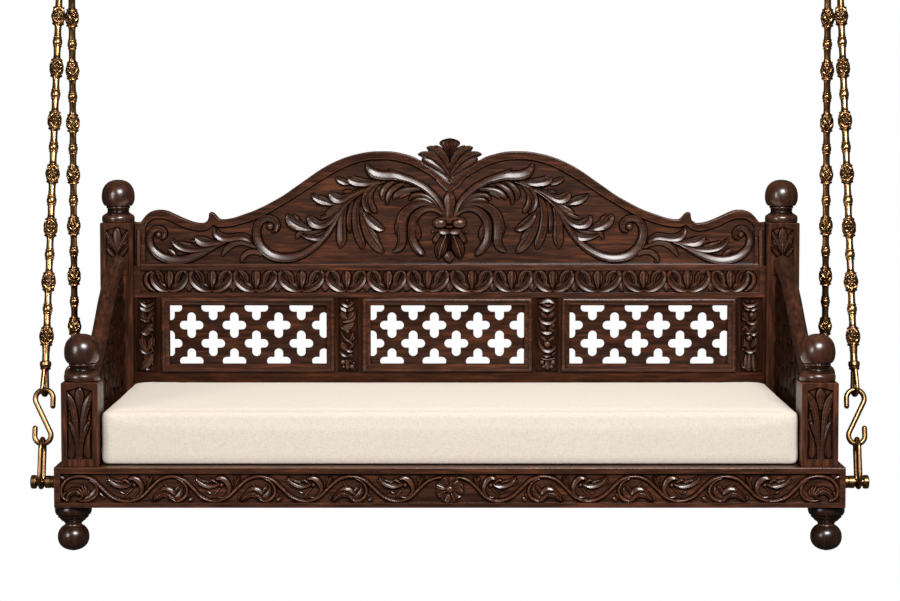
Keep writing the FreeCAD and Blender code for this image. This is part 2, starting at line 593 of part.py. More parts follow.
def pear(z0, z1, r0, r1, wr, turn):
    """Closed loop of round wire, round and wide below, drawn in towards the top."""
    d = V(math.sin(math.radians(turn)), math.cos(math.radians(turn)), 0)
    lo, hi = V(0, 0, z0 + r0), V(0, 0, z1 - r1)
    al = math.degrees(math.asin((r0 - r1) / (hi - lo).Length))
    e1, t0, t1 = arc_edge(hi, r1, al, 90, d, UZ)
    e2, _, t2 = arc_edge(hi, r1, 90, 180 - al, d, UZ)
    e3, b0, b1 = arc_edge(lo, r0, 180 - al, 270, d, UZ)
    e4, _, b2 = arc_edge(lo, r0, 270, 360 + al, d, UZ)
    edges = [Part.makeLine(b2, t0), e1, e2, Part.makeLine(t2, b0), e3, e4]
    return wire_solid(edges, wr, b2, t0 - b2)


def s_hook(flip):
    """S of round wire in the XZ plane, with short straight tips."""
    ux = UX * flip
    up, lo = V(0, 0, HOOK_UP), V(0, 0, HOOK_LO)
    dist = HOOK_UP - HOOK_LO
    phi = math.degrees(math.acos((HOOK_R_UP + HOOK_R_LO) / dist))
    e1, a_, b_ = arc_edge(up, HOOK_R_UP, 0, 90, ux, UZ)
    e2, b2, c_ = arc_edge(up, HOOK_R_UP, 90, 270 - phi, ux, UZ)
    e4, d_, e_ = arc_edge(lo, HOOK_R_LO, 90 - phi, -90, ux, UZ)
    e5, f_, g_ = arc_edge(lo, HOOK_R_LO, -90, -180, ux, UZ)
    tip_up = a_ - UZ * 19.0
    tip_lo = g_ + UZ * 19.0
    edges = [Part.makeLine(tip_up, a_), e1, e2, Part.makeLine(c_, d_), e4, e5, Part.makeLine(g_, tip_lo)]
    s = wire_solid(edges, HOOK_WIRE_R, tip_up, UZ)
    s = Part.Solid(s) if s.ShapeType != "Solid" else s
    for t in (tip_up, tip_lo):
        cap = Part.makeSphere(HOOK_WIRE_R - 0.02, t)
        s = s.fuse(cap)
    return s.removeSplitter()


mid_collar = [(ROD_R, -13.5), (11.2, -12.5), (11.6, -10.5), (11.2, -8.4), (9.9, -7.6), (12.6, -6.2), (14.1, -4.0), (14.4, 0.0), (14.1, 4.0),
              (12.6, 6.2), (9.9, 7.6), (11.2, 8.4), (11.6, 10.5), (11.2, 12.5), (ROD_R, 13.5)]
NECK_R = 5.0
BALL_OFF = 11.14
end_lo = ell(0, 0, BALL_R, BALL_R, -90, 51, 12) + [(NECK_R, 8.0)]


def rod_profile():
    """Ball, neck, waisted rod with its middle collar, neck, ball; from bead centre to bead centre."""
    P = BEAD_PITCH
    h = BEAD_H / 2 + 0.3
    pts = [(r, z + BALL_OFF) for r, z in ell(0, 0, BALL_R, BALL_R, -90, 51, 12)]
    pts += [(NECK_R, BALL_OFF + 6.6), (NECK_R, h), (ROD_R + 1.0, h), (ROD_R + 1.0, h + 1.5), (ROD_R, h + 3.0), (ROD_R - 0.5, P / 4 + 4)]
    pts += [(r, P / 2 + z) for r, z in mid_collar]
    tail = [(r, P - z) for r, z in reversed(pts[:-len(mid_collar)])]
    return pts + tail


bead_out = [(11.5, -23.0), (14.6, -22.4), (15.0, -20.8), (14.4, -19.4), (13.6, -19.0)] + ell(0, 0, BEAD_R, 26.5, -44, 44, 14) + \
           [(13.6, 19.0), (14.4, 19.4), (15.0, 20.8), (14.6, 22.4), (11.5, 23.0)]


def bead(z):
    s = turned(bead_out, V(0, 0, z))
    s = s.cut(cyl(11.0, 34, V(0, 0, z - 17), UZ))
    s = s.cut(cyl(5.5, 60, V(0, 0, z - 30), UZ))
    return s


def lower_eye(first):
    collar = first - BEAD_PITCH / 2
    pts = [(8.2, collar - 15.0), (12.4, collar - 13.0), (13.4, collar - 10.5), (12.6, collar - 8.2), (11.4, collar - 7.4),
           (13.4, collar - 6.2), (14.3, collar - 3.5), (14.3, collar + 3.5), (13.4, collar + 6.2),
           (ROD_R, collar + 8.0), (ROD_R - 0.4, collar + 26), (ROD_R + 1.0, first - 24.8), (ROD_R + 1.0, first - 23.3), (NECK_R, first - 23.3)]
    pts += [(r, first - BALL_OFF - z) for r, z in reversed(ell(0, 0, BALL_R, BALL_R, -90, 51, 12))]
    stem = turned(pts)
    loop = pear(EYE_BOTTOM, collar - 9.0, EYE_R, 9.0, EYE_WIRE_R, 12.0)
    return stem.fuse(loop).removeSplitter()


def upper_eye_stem(length, first):
    last = first + BEAD_PITCH * (BEAD_N - 1)
    h = BEAD_H / 2 + 0.3
    pts = [(r, last + z + BALL_OFF) for r, z in ell(0, 0, BALL_R, BALL_R, -90, 51, 12)]
    pts += [(NECK_R, last + BALL_OFF + 6.6), (NECK_R, last + h), (ROD_R + 1.0, last + h), (ROD_R + 1.0, last + h + 1.5), (ROD_R, last + h + 3.0),
            (ROD_R - 0.5, last + BEAD_PITCH / 4 + 4)]
    pts += [(r, last + BEAD_PITCH / 2 + z) for r, z in mid_collar]
    pts += [(ROD_R - 0.5, length - EYE_OUT_R - 24.0), (7.5, length - EYE_OUT_R - 12.0), (5.8, length - EYE_OUT_R - 6.0), (5.8, length - EYE_OUT_R + 3.0)]
    return turned(pts)


def chain_frame(y0, seat, ex, sx):
    """Placement whose Z runs from the pin's link seat to the upper eye."""
    p0 = V(sx * seat, y0, PIN_Z)
    p1 = V(sx * ex, HANGER_Y, HANGER_Z)
    z = (p1 - p0)
    length = z.Length
    z.normalize()
    x = V(1, 0, 0) - z * z.x
    x.normalize()
    y = z.cross(x)
    m = FreeCAD.Matrix(x.x, y.x, z.x, p0.x, x.y, y.y, z.y, p0.y, x.z, y.z, z.z, p0.z, 0, 0, 0, 1)
    return m, length, p1


links, hooks, eyes_lo, eyes_up = [], [], [], []
for tag, y0, seat, ex, first in (("front", PIN_Y_F, PIN_X_F, EYE_X_F, BEAD_FIRST_F), ("rear", PIN_Y_R, PIN_X_R, EYE_X_R, BEAD_FIRST_R)):
    for side_name, sx in (("left", -1), ("right", 1)):
        m, length, apex = chain_frame(y0, seat, ex, sx)
        pl_ = FreeCAD.Placement(m)

        def place(s):
            t = s.copy()
            t.Placement = pl_.multiply(t.Placement)
            return t
        links.append(place(stadium(LINK_BOTTOM, LINK_TOP, LINK_R, LINK_WIRE_R, 0.0)))
        hooks.append(place(s_hook(-sx)))
        le = lower_eye(first)
        if sx > 0:
            le = le.mirror(V(0, 0, 0), V(1, 0, 0))
        eyes_lo.append(place(le))
        beads = [place(bead(first + i * BEAD_PITCH)) for i in range(BEAD_N)]
        rods = []
        for i in range(BEAD_N - 1):
            rods.append(place(turned(rod_profile(), V(0, 0, first + i * BEAD_PITCH))))
        out("%s_%s_chain_barrels" % (side_name, tag), *beads)
        out("%s_%s_chain_rods" % (side_name, tag), *rods)
        ring_out = [(EYE_OUT_R - 2.2, -EYE_T / 2), (EYE_OUT_R - 0.4, -EYE_T / 2 + 2.2), (EYE_OUT_R, 0), (EYE_OUT_R - 0.4, EYE_T / 2 - 2.2), (EYE_OUT_R - 2.2, EYE_T / 2)]
        rg = turned(ring_out)
        rg.rotate(V(0, 0, 0), V(0, 1, 0), 90)
        rg.translate(apex)
        ue = place(upper_eye_stem(length, first)).fuse(rg).removeSplitter()
        ue = ue.cut(cyl(EYE_BORE_R, 80, apex - UX * 40, UX))
        eyes_up.append(ue)
out("oval_links", *links)
out("s_hooks", *hooks)
out("chain_lower_eyes", *eyes_lo)
out("chain_upper_eyes", *eyes_up)

# ---------------------------------------------------------------- ceiling brackets
EXM = (EYE_X_F + EYE_X_R) / 2
lug_in = (EYE_X_R - EYE_T / 2 - 0.6 - LUG_T, EYE_X_R - EYE_T / 2 - 0.6)
lug_out = (EYE_X_F + EYE_T / 2 + 0.6, EYE_X_F + EYE_T / 2 + 0.6 + LUG_T)


def lug(x0, x1):
    zt = CEILING_Z - PLATE_T + 0.5
    w = [(x0, HANGER_Y - 36, zt), (x0, HANGER_Y - 24, HANGER_Z + 12)]
    w += [(x0, HANGER_Y + 24 * math.cos(math.radians(a_)), HANGER_Z + 24 * math.sin(math.radians(a_))) for a_ in range(195, 346, 15)]
    w += [(x0, HANGER_Y + 24, HANGER_Z + 12), (x0, HANGER_Y + 36, zt)]
    return Part.Face(poly(w)).extrude(V(x1 - x0, 0, 0))


plate = box(EXM - PLATE_HALF_X, EXM + PLATE_HALF_X, HANGER_Y - PLATE_HALF_Y, HANGER_Y + PLATE_HALF_Y, CEILING_Z - PLATE_T, CEILING_Z)
plate = plate.makeFillet(10.0, [e for e in plate.Edges if abs(e.Vertexes[0].Z - e.Vertexes[1].Z) > 5])
br = plate.fuse(lug(*lug_in)).fuse(lug(*lug_out)).removeSplitter()
for sx in (-1, 1):
    for sy in (-1, 1):
        br = br.cut(cyl(SCREW_HOLE_R, 30, V(EXM + sx * SCREW_HALF, HANGER_Y + sy * SCREW_HALF, CEILING_Z - 20), UZ))
br = br.cut(cyl(HANGER_R + 0.05, 120, V(EXM - 60, HANGER_Y, HANGER_Z), UX))
out("right_ceiling_bracket", br)
out("left_ceiling_bracket", mir(br))
hx0, hx1 = lug_in[0] - 22.0, lug_out[1]
hp = [(HANGER_R - 1.0, hx0), (HANGER_R, hx0 + 1.0), (HANGER_R, hx1 + 0.2), (14.0, hx1 + 0.2), (14.5, hx1 + 1.4), (14.5, hx1 + 6.5), (12.5, hx1 + 9.0), (8.0, hx1 + 10.0)]
h = turned_x(hp, HANGER_Y, HANGER_Z)
out("hanger_pins", h, mir(h))
hexw = Part.makePolygon([V(lug_in[0] - 13.4, HANGER_Y + 13.9 * math.cos(math.radians(60 * k)), HANGER_Z + 13.9 * math.sin(math.radians(60 * k))) for k in range(7)])
hn = Part.Face(hexw).extrude(V(13.0, 0, 0)).cut(cyl(HANGER_R + 0.05, 60, V(lug_in[0] - 40, HANGER_Y, HANGER_Z), UX))
out("hanger_nuts", hn, mir(hn))
sp0, sp1 = EYE_X_R + EYE_T / 2 + 0.5, EYE_X_F - EYE_T / 2 - 0.5
sp = cyl(12.0, sp1 - sp0, V(sp0, HANGER_Y, HANGER_Z), UX).cut(cyl(HANGER_R + 0.05, 80, V(sp0 - 20, HANGER_Y, HANGER_Z), UX))
out("eye_spacers", sp, mir(sp))

# ---------------------------------------------------------------- cushion: crowned closed block
def cushion():
    x, (y0, y1), (z0, z1) = CUSH_X, CUSH_Y, CUSH_Z
    r = 34.0
    e = z1 - CUSH_CROWN
    wires = []
    for inset, z in ((7.0, z0), (1.5, z0 + 5), (0.0, z0 + 14), (0.0, e - 22), (3.0, e - 10), (10.0, e - 2), (26.0, e + 3), (60.0, e + 7), (120.0, z1)):
        a_, b_, c_ = x - inset, y0 + inset * 0.8, y1 - inset * 0.6
        rr = r - min(inset * 0.5, 14)
        pts = []
        for cx, cy, s0 in ((a_ - rr, b_ + rr, 270), (a_ - rr, c_ - rr, 0), (-a_ + rr, c_ - rr, 90), (-a_ + rr, b_ + rr, 180)):
            for k in range(5):
                t = math.radians(s0 + 90 * k / 4)
                pts.append(V(cx + rr * math.cos(t), cy + rr * math.sin(t), z))
        wires.append(Part.makePolygon(pts + [pts[0]]))
    return Part.makeLoft(wires, True, True)


out("seat_cushion", cushion())

for name, n, vol in made:
    print("%-28s %3d solids %12.0f mm3" % (name, n, vol))
print(len(made), "nodes")
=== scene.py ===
import math

import bmesh
import bpy
import numpy as np
from mathutils import Matrix, Vector


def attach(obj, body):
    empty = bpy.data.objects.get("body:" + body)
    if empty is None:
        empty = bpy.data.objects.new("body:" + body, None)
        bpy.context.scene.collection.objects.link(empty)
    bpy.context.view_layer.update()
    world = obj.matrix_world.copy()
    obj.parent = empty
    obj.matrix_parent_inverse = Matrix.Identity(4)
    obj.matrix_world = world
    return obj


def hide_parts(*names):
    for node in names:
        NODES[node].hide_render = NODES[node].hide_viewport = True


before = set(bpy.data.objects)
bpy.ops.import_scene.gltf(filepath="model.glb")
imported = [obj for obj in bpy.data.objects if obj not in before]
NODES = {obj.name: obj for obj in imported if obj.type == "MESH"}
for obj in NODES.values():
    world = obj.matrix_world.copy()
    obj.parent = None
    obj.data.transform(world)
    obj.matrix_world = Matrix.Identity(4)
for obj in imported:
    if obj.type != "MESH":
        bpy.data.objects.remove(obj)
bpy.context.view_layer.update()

# ------------------------------------------------------------------ layout
# Drawing frame: millimetres, X from the middle, Y back from the front posts'
# front face, Z up from the deck. The row frame's origin is on the ceiling.
OFF = np.array([0.0, -396.0, -1312.0])
VIEW_F, VIEW_D, VIEW_U, VIEW_V, VIEW_Z = 2196.0, 5322.0, 449.8, 246.5, 833.235
TILT = math.radians(3.1668)
CT, ST = math.cos(TILT), math.sin(TILT)


def E(u, v, y):
    """Point (x, z) of the upright plane at y that a front drawing shows at (u, v)."""
    dy = y + VIEW_D
    t = (v - VIEW_V) / VIEW_F
    dz = dy * (t * CT + ST) / (-CT + t * ST)
    return (u - VIEW_U) * (dy * CT - dz * ST) / VIEW_F, dz + VIEW_Z


def pxmm(y):
    return (y + VIEW_D) / VIEW_F


def rows_at(rows, y):
    """Rows (u, v, width[, height factor]) of a drawing as (x, z, width, factor) in mm."""
    out = []
    k = pxmm(y)
    for r in rows:
        x, z = E(r[0], r[1], y)
        out.append((x, z, r[2] * k, r[3] if len(r) > 3 else 1.0))
    return out


# ------------------------------------------------------------------ node helpers
def new_mat(name):
    m = bpy.data.materials.new(name)
    m.use_nodes = True
    nt = m.node_tree
    nt.nodes.clear()
    o = nt.nodes.new("ShaderNodeOutputMaterial")
    b = nt.nodes.new("ShaderNodeBsdfPrincipled")
    nt.links.new(b.outputs[0], o.inputs[0])
    return m, nt, b


def add(nt, kind, **kw):
    n = nt.nodes.new("ShaderNode" + kind)
    for k, v in kw.items():
        if k.startswith("i_"):
            key = k[2:]
            key = int(key) if key.isdigit() else key.replace("_", " ")
            n.inputs[key].default_value = v
        else:
            setattr(n, k, v)
    return n


def ramp(nt, src, stops, interp="LINEAR"):
    r = nt.nodes.new("ShaderNodeValToRGB")
    r.color_ramp.interpolation = interp
    el = r.color_ramp.elements
    while len(el) < len(stops):
        el.new(0.5)
    for e, (p, c) in zip(el, stops):
        e.position = p
        e.color = (c, c, c, 1) if isinstance(c, (int, float)) else (*c, 1)
    nt.links.new(src, r.inputs[0])
    return r.outputs[0]


def mix(nt, fac, a, b, mode="MIX"):
    n = nt.nodes.new("ShaderNodeMix")
    n.data_type = "RGBA"
    n.blend_type = mode
    for sock, val in ((n.inputs[0], fac), (n.inputs[6], a), (n.inputs[7], b)):
        if isinstance(val, bpy.types.NodeSocket):
            nt.links.new(val, sock)
        elif isinstance(val, (int, float)):
            sock.default_value = val
        else:
            sock.default_value = (*val, 1)
    return n.outputs[2]


def math_n(nt, op, a, b=None, clamp=False):
    n = nt.nodes.new("ShaderNodeMath")
    n.operation = op
    n.use_clamp = clamp
    for sock, val in ((n.inputs[0], a), (n.inputs[1], b)):
        if val is None:
            continue
        if isinstance(val, bpy.types.NodeSocket):
            nt.links.new(val, sock)
        else:
            sock.default_value = val
    return n.outputs[0]


def coords(nt, scale, rot=(0, 0, 0), loc=(0, 0, 0)):
    tc = nt.nodes.new("ShaderNodeTexCoord")
    mp = nt.nodes.new("ShaderNodeMapping")
    mp.inputs["Scale"].default_value = scale
    mp.inputs["Rotation"].default_value = rot
    mp.inputs["Location"].default_value = loc
    nt.links.new(tc.outputs["Object"], mp.inputs[0])
    return mp.outputs[0]


def noise(nt, vec, scale=1.0, detail=4.0, rough=0.55, dist=0.0):
    n = add(nt, "TexNoise", i_Scale=scale, i_Detail=detail, i_Roughness=rough, i_Distortion=dist)
    nt.links.new(vec, n.inputs["Vector"])
    return n.outputs["Fac"]


def bump(nt, bsdf, height, strength, dist, extra=None):
    b = add(nt, "Bump", i_Strength=strength, i_Distance=dist)
    nt.links.new(height, b.inputs["Height"])
    if extra is not None:
        nt.links.new(extra, b.inputs["Normal"])
    nt.links.new(b.outputs[0], bsdf.inputs["Normal"])
    return b.outputs[0]


# ------------------------------------------------------------------ materials
def wood(name, axis, lo, mid, hi, worn_and_highlight, rough=(0.27, 0.40), coat=0.50, streak=1.0, dark_k=0.97, shift=(0, 0, 0), coat_rough=0.19, relief=0.16, spec=0.12, coat_ior=1.5):
    """Varnished timber. Grain runs along one axis; the carve attribute holds painted shade in recesses (-) and rubbed
    edges with painted highlight (+), and ambient occlusion adds painted shade in creases.
    """
    m, nt, b = new_mat(name)
    long_, cross = 11.0 * streak, 118.0 * streak
    sc = {"x": (long_, cross, cross), "y": (cross, long_, cross), "z": (cross, cross, long_)}[axis]
    n1 = noise(nt, coords(nt, sc, loc=shift), 1.0, 2.5, 0.55, 0.35)
    fine_sc = tuple(s * (2.6 if s == long_ else 3.4) for s in sc)
    n2 = noise(nt, coords(nt, fine_sc, loc=(7, 2, 4)), 1.0, 3.0, 0.6, 0.1)
    big = noise(nt, coords(nt, tuple(2.4 if s == long_ else 9.0 for s in sc), loc=(3, 1, 2)), 1.0, 2.0, 0.5, 0.2)
    tone = math_n(nt, "ADD", math_n(nt, "ADD", math_n(nt, "MULTIPLY", n1, 0.62), math_n(nt, "MULTIPLY", n2, 0.16)), math_n(nt, "MULTIPLY", big, 0.22))
    col = ramp(nt, tone, [(0.40, lo), (0.48, tuple(0.35 * a + 0.65 * c for a, c in zip(lo, mid))), (0.53, mid), (0.62, hi)])
    pores = noise(nt, coords(nt, tuple(s * (3.2 if s == long_ else 5.5) for s in sc), loc=(5, 3, 1)), 1.0, 3.0, 0.6, 0.1)
    pore_f = ramp(nt, pores, [(0.57, 0.0), (0.70, 1.0)])
    col = mix(nt, math_n(nt, "MULTIPLY", pore_f, 0.34), col, tuple(c * 0.5 for c in lo))
    at = add(nt, "Attribute", attribute_name="carve")
    fac = at.outputs["Fac"]
    # positive carve values, broken up by noise, lighten the colour toward the lighter edge colour: rubbed edges with
    # painted highlight
    wear_and_highlight_noise = noise(nt, coords(nt, (60, 60, 60)), 1.0, 4.0, 0.6)
    wear_and_highlight = math_n(nt, "MULTIPLY", math_n(nt, "MAXIMUM", fac, 0.0), ramp(nt, wear_and_highlight_noise, [(0.30, 0.30), (0.62, 0.95)]))
    col = mix(nt, wear_and_highlight, col, worn_and_highlight)
    # ambient occlusion and negative carve values darken the colour toward near black below: painted shade in creases,
    # recesses and the outlines round carved shapes
    ao = add(nt, "AmbientOcclusion", samples=6, i_Distance=0.010)
    occ = ramp(nt, ao.outputs["AO"], [(0.30, 1.0), (0.84, 0.0)])
    recess = math_n(nt, "MAXIMUM", math_n(nt, "MULTIPLY", math_n(nt, "MAXIMUM", math_n(nt, "MULTIPLY", fac, -1.0), 0.0), dark_k), math_n(nt, "MULTIPLY", occ, 0.80))
    col = mix(nt, recess, col, (0.0032, 0.0013, 0.0008))
    nt.links.new(col, b.inputs["Base Color"])
    rr = ramp(nt, math_n(nt, "ADD", math_n(nt, "MULTIPLY", n2, 0.5), math_n(nt, "MULTIPLY", pores, 0.5)), [(0.38, rough[0]), (0.64, rough[1])])
    deep = ramp(nt, recess, [(0.25, 0.0), (0.85, 1.0)])
    nt.links.new(mix(nt, deep, rr, (0.75, 0.75, 0.75)), b.inputs["Roughness"])
    nt.links.new(mix(nt, deep, (spec, spec, spec), (0.0, 0.0, 0.0)), b.inputs["Specular IOR Level"])
    nt.links.new(mix(nt, deep, (coat, coat, coat), (0.0, 0.0, 0.0)), b.inputs["Coat Weight"])
    b.inputs["Coat Roughness"].default_value = coat_rough
    b.inputs["Coat IOR"].default_value = coat_ior
    h = math_n(nt, "SUBTRACT", math_n(nt, "MULTIPLY", n2, 0.7), math_n(nt, "MULTIPLY", pore_f, 0.4))
    bump(nt, b, h, relief, 0.0005)
    return m


# the fourth colour is the lighter tone for rubbed edges and painted highlights
W_LO, W_MID, W_HI, W_WORN_AND_HIGHLIGHT = (0.027, 0.0105, 0.0060), (0.062, 0.0225, 0.0118), (0.128, 0.0395, 0.0185), (0.175, 0.064, 0.034)
WOOD_X = wood("walnut_along_x", "x", W_LO, W_MID, W_HI, W_WORN_AND_HIGHLIGHT, coat=0.42)
WOOD_Z = wood("walnut_along_z", "z", W_LO, W_MID, W_HI, W_WORN_AND_HIGHLIGHT, shift=(1.3, 0.4, 0.2), coat=0.24, spec=0.08)
WOOD_Y = wood("walnut_along_y", "y", W_LO, W_MID, W_HI, W_WORN_AND_HIGHLIGHT, shift=(0.2, 2.4, 0.7), coat=0.40)
WOOD_LOW = wood("walnut_bottom_rail", "x", (0.020, 0.0062, 0.0025), (0.044, 0.0128, 0.0048), (0.080, 0.0225, 0.0082), (0.105, 0.035, 0.016), shift=(0.6, 0.1, 1.1), coat=0.12, spec=0.05)
WOOD_ARM = wood("walnut_arm", "y", (0.020, 0.0072, 0.0038), (0.046, 0.0158, 0.0080), (0.082, 0.0275, 0.0130), W_WORN_AND_HIGHLIGHT, rough=(0.28, 0.36), coat=0.85, streak=0.8, relief=0.04, coat_rough=0.22)
WOOD_TURN = wood("walnut_turned", "z", (0.0145, 0.0049, 0.0024), (0.035, 0.0116, 0.0054), (0.066, 0.0215, 0.0095), W_WORN_AND_HIGHLIGHT, rough=(0.28, 0.34), coat=1.0, streak=0.8, relief=0.03, coat_rough=0.26, coat_ior=1.65)
WOOD_CARVED = wood("walnut_carved", "x", (0.025, 0.0084, 0.0041), (0.054, 0.0180, 0.0084), (0.100, 0.0330, 0.0150), (0.180, 0.065, 0.033), rough=(0.28, 0.40), coat=0.92, streak=1.2, dark_k=1.0, coat_rough=0.27, relief=0.12)
WOOD_VINE = wood("walnut_rail_carving", "x", (0.031, 0.0102, 0.0048), (0.069, 0.0228, 0.0104), (0.124, 0.0405, 0.0182), (0.200, 0.072, 0.036), rough=(0.26, 0.38), coat=0.85, streak=1.2, dark_k=1.0, coat_rough=0.21, relief=0.12)
# darker timber for the stiles, standing in for the shade they show: painted shade
WOOD_STILE = wood("walnut_stile", "z", (0.0145, 0.0047, 0.0022), (0.031, 0.0100, 0.0044), (0.056, 0.0175, 0.0076), (0.085, 0.030, 0.015), shift=(2.1, 0.3, 0.9), coat=0.12, spec=0.05)
WOOD_JALI = wood("walnut_lattice", "x", (0.019, 0.0066, 0.0034), (0.0415, 0.0140, 0.0070), (0.084, 0.0255, 0.0118), (0.135, 0.048, 0.026), shift=(0.9, 1.7, 0.3), coat=0.26, spec=0.10)
# dark timber for the side panels, darker than the rest so their inner faces read as in shade: painted shade
WOOD_SHADE = wood("walnut_side_panel_painted_shade", "y", (0.008, 0.0025, 0.0010), (0.0175, 0.0055, 0.0022), (0.033, 0.0102, 0.0040), (0.045, 0.015, 0.007), rough=(0.38, 0.48), coat=0.08, relief=0.10, spec=0.04)
WOOD_DECK = wood("deck_timber", "x", (0.050, 0.024, 0.013), (0.105, 0.050, 0.026), (0.170, 0.085, 0.043), (0.20, 0.11, 0.06), rough=(0.42, 0.55), coat=0.1)

def brass(name, bright, brown, patina=0.5, rough=(0.24, 0.42), pits=0.06):
    m, nt, b = new_mat(name)
    n1 = noise(nt, coords(nt, (55, 55, 40)), 1.0, 5.0, 0.6, 0.4)
    n2 = noise(nt, coords(nt, (260, 260, 200), loc=(2, 5, 1)), 1.0, 3.0, 0.6)
    f = math_n(nt, "MULTIPLY", ramp(nt, n1, [(0.36, 1.0), (0.62, 0.0)]), patina)
    col = mix(nt, f, bright, brown)
    at = add(nt, "Attribute", attribute_name="carve").outputs["Fac"]
    col = mix(nt, math_n(nt, "MULTIPLY", math_n(nt, "MAXIMUM", at, 0.0), 0.75), col, tuple(min(1.0, c * 1.45) for c in bright))
    # the sunk parts (negative carve) darken toward near black, and ambient occlusion darkens the creases the same way
    # as painted shade
    ao = add(nt, "AmbientOcclusion", samples=6, i_Distance=0.006)
    occ = ramp(nt, ao.outputs["AO"], [(0.35, 1.0), (0.85, 0.0)])
    dark = math_n(nt, "MAXIMUM", math_n(nt, "MAXIMUM", math_n(nt, "MULTIPLY", at, -1.0), 0.0), math_n(nt, "MULTIPLY", occ, 0.85), clamp=True)
    col = mix(nt, dark, col, (0.016, 0.0072, 0.0028))
    nt.links.new(col, b.inputs["Base Color"])
    b.inputs["Metallic"].default_value = 1.0
    rr = ramp(nt, math_n(nt, "ADD", math_n(nt, "MULTIPLY", n1, 0.6), math_n(nt, "MULTIPLY", n2, 0.4)), [(0.35, rough[0]), (0.65, rough[1])])
    nt.links.new(rr, b.inputs["Roughness"])
    b.inputs["Coat Weight"].default_value = 0.35
    b.inputs["Coat Roughness"].default_value = 0.20
    bump(nt, b, n2, pits, 0.0004)
    return m


BRASS = brass("antique_brass_cast", (0.64, 0.340, 0.130), (0.21, 0.094, 0.031), 0.50, (0.24, 0.34))
BRASS_SMOOTH = brass("antique_brass_wire", (0.41, 0.216, 0.084), (0.22, 0.104, 0.037), 0.45, (0.28, 0.36), pits=0.012)


def steel():
    m, nt, b = new_mat("brushed_steel")
    n1 = noise(nt, coords(nt, (30, 400, 400)), 1.0, 4.0, 0.6)
    nt.links.new(ramp(nt, n1, [(0.3, (0.30, 0.30, 0.31)), (0.7, (0.55, 0.55, 0.56))]), b.inputs["Base Color"])
    nt.links.new(ramp(nt, n1, [(0.3, 0.30), (0.7, 0.46)]), b.inputs["Roughness"])
    b.inputs["Metallic"].default_value = 1.0
    bump(nt, b, n1, 0.1, 0.0003)
    return m


STEEL = steel()


def linen():
    m, nt, b = new_mat("cream_linen")
    vx = coords(nt, (1, 1, 1))
    sep = nt.nodes.new("ShaderNodeSeparateXYZ")
    nt.links.new(vx, sep.inputs[0])
    x, y, z = sep.outputs
    warp = noise(nt, coords(nt, (18, 18, 18)), 1.0, 3.0, 0.5)
    fx = math_n(nt, "ADD", math_n(nt, "MULTIPLY", x, 2 * math.pi / 0.0019), math_n(nt, "MULTIPLY", warp, 9.0))
    yz = math_n(nt, "ADD", y, z)
    fy = math_n(nt, "ADD", math_n(nt, "MULTIPLY", yz, 2 * math.pi / 0.0019), math_n(nt, "MULTIPLY", warp, 7.0))
    wx, wy = math_n(nt, "SINE", fx), math_n(nt, "SINE", fy)
    weave = math_n(nt, "MULTIPLY", wx, wy)
    slub_x = noise(nt, coords(nt, (80, 430, 430)), 1.0, 4.0, 0.75)
    slub_z = noise(nt, coords(nt, (430, 110, 110)), 1.0, 4.0, 0.75)
    slub = math_n(nt, "ADD", math_n(nt, "MULTIPLY", slub_x, 0.5), math_n(nt, "MULTIPLY", slub_z, 0.5))
    cloud = noise(nt, coords(nt, (5, 5, 5)), 1.0, 3.0, 0.5)
    base = ramp(nt, slub, [(0.40, (0.690, 0.600, 0.494)), (0.50, (0.768, 0.684, 0.582)), (0.60, (0.815, 0.742, 0.650))])
    base = mix(nt, ramp(nt, cloud, [(0.3, 0.10), (0.7, 0.0)]), base, (0.66, 0.57, 0.46))
    base = mix(nt, ramp(nt, weave, [(0.0, 0.06), (0.6, 0.0)]), base, (0.60, 0.51, 0.41))
    seam = add(nt, "Attribute", attribute_name="carve").outputs["Fac"]
    base = mix(nt, math_n(nt, "MULTIPLY", math_n(nt, "MAXIMUM", math_n(nt, "MULTIPLY", seam, -1.0), 0.0), 0.55), base, (0.46, 0.37, 0.28))
    # the cover is painted darker along the cushion's upper edge: painted shade that tones down the bright light there
    q = math_n(nt, "MULTIPLY", math_n(nt, "ADD", z, 1.1838), 1 / 0.0056)
    band = math_n(nt, "MAXIMUM", math_n(nt, "SUBTRACT", 1.0, math_n(nt, "MULTIPLY", q, q)), 0.0)
    base = mix(nt, math_n(nt, "MULTIPLY", band, 0.34), base, (0.44, 0.355, 0.265))
    nt.links.new(base, b.inputs["Base Color"])
    b.inputs["Roughness"].default_value = 0.92
    b.inputs["Specular IOR Level"].default_value = 0.18
    b.inputs["Sheen Weight"].default_value = 0.12
    b.inputs["Sheen Roughness"].default_value = 0.5
    h = math_n(nt, "ADD", math_n(nt, "MULTIPLY", weave, 0.3), slub)
    bump(nt, b, h, 0.20, 0.0006)
    return m


LINEN = linen()

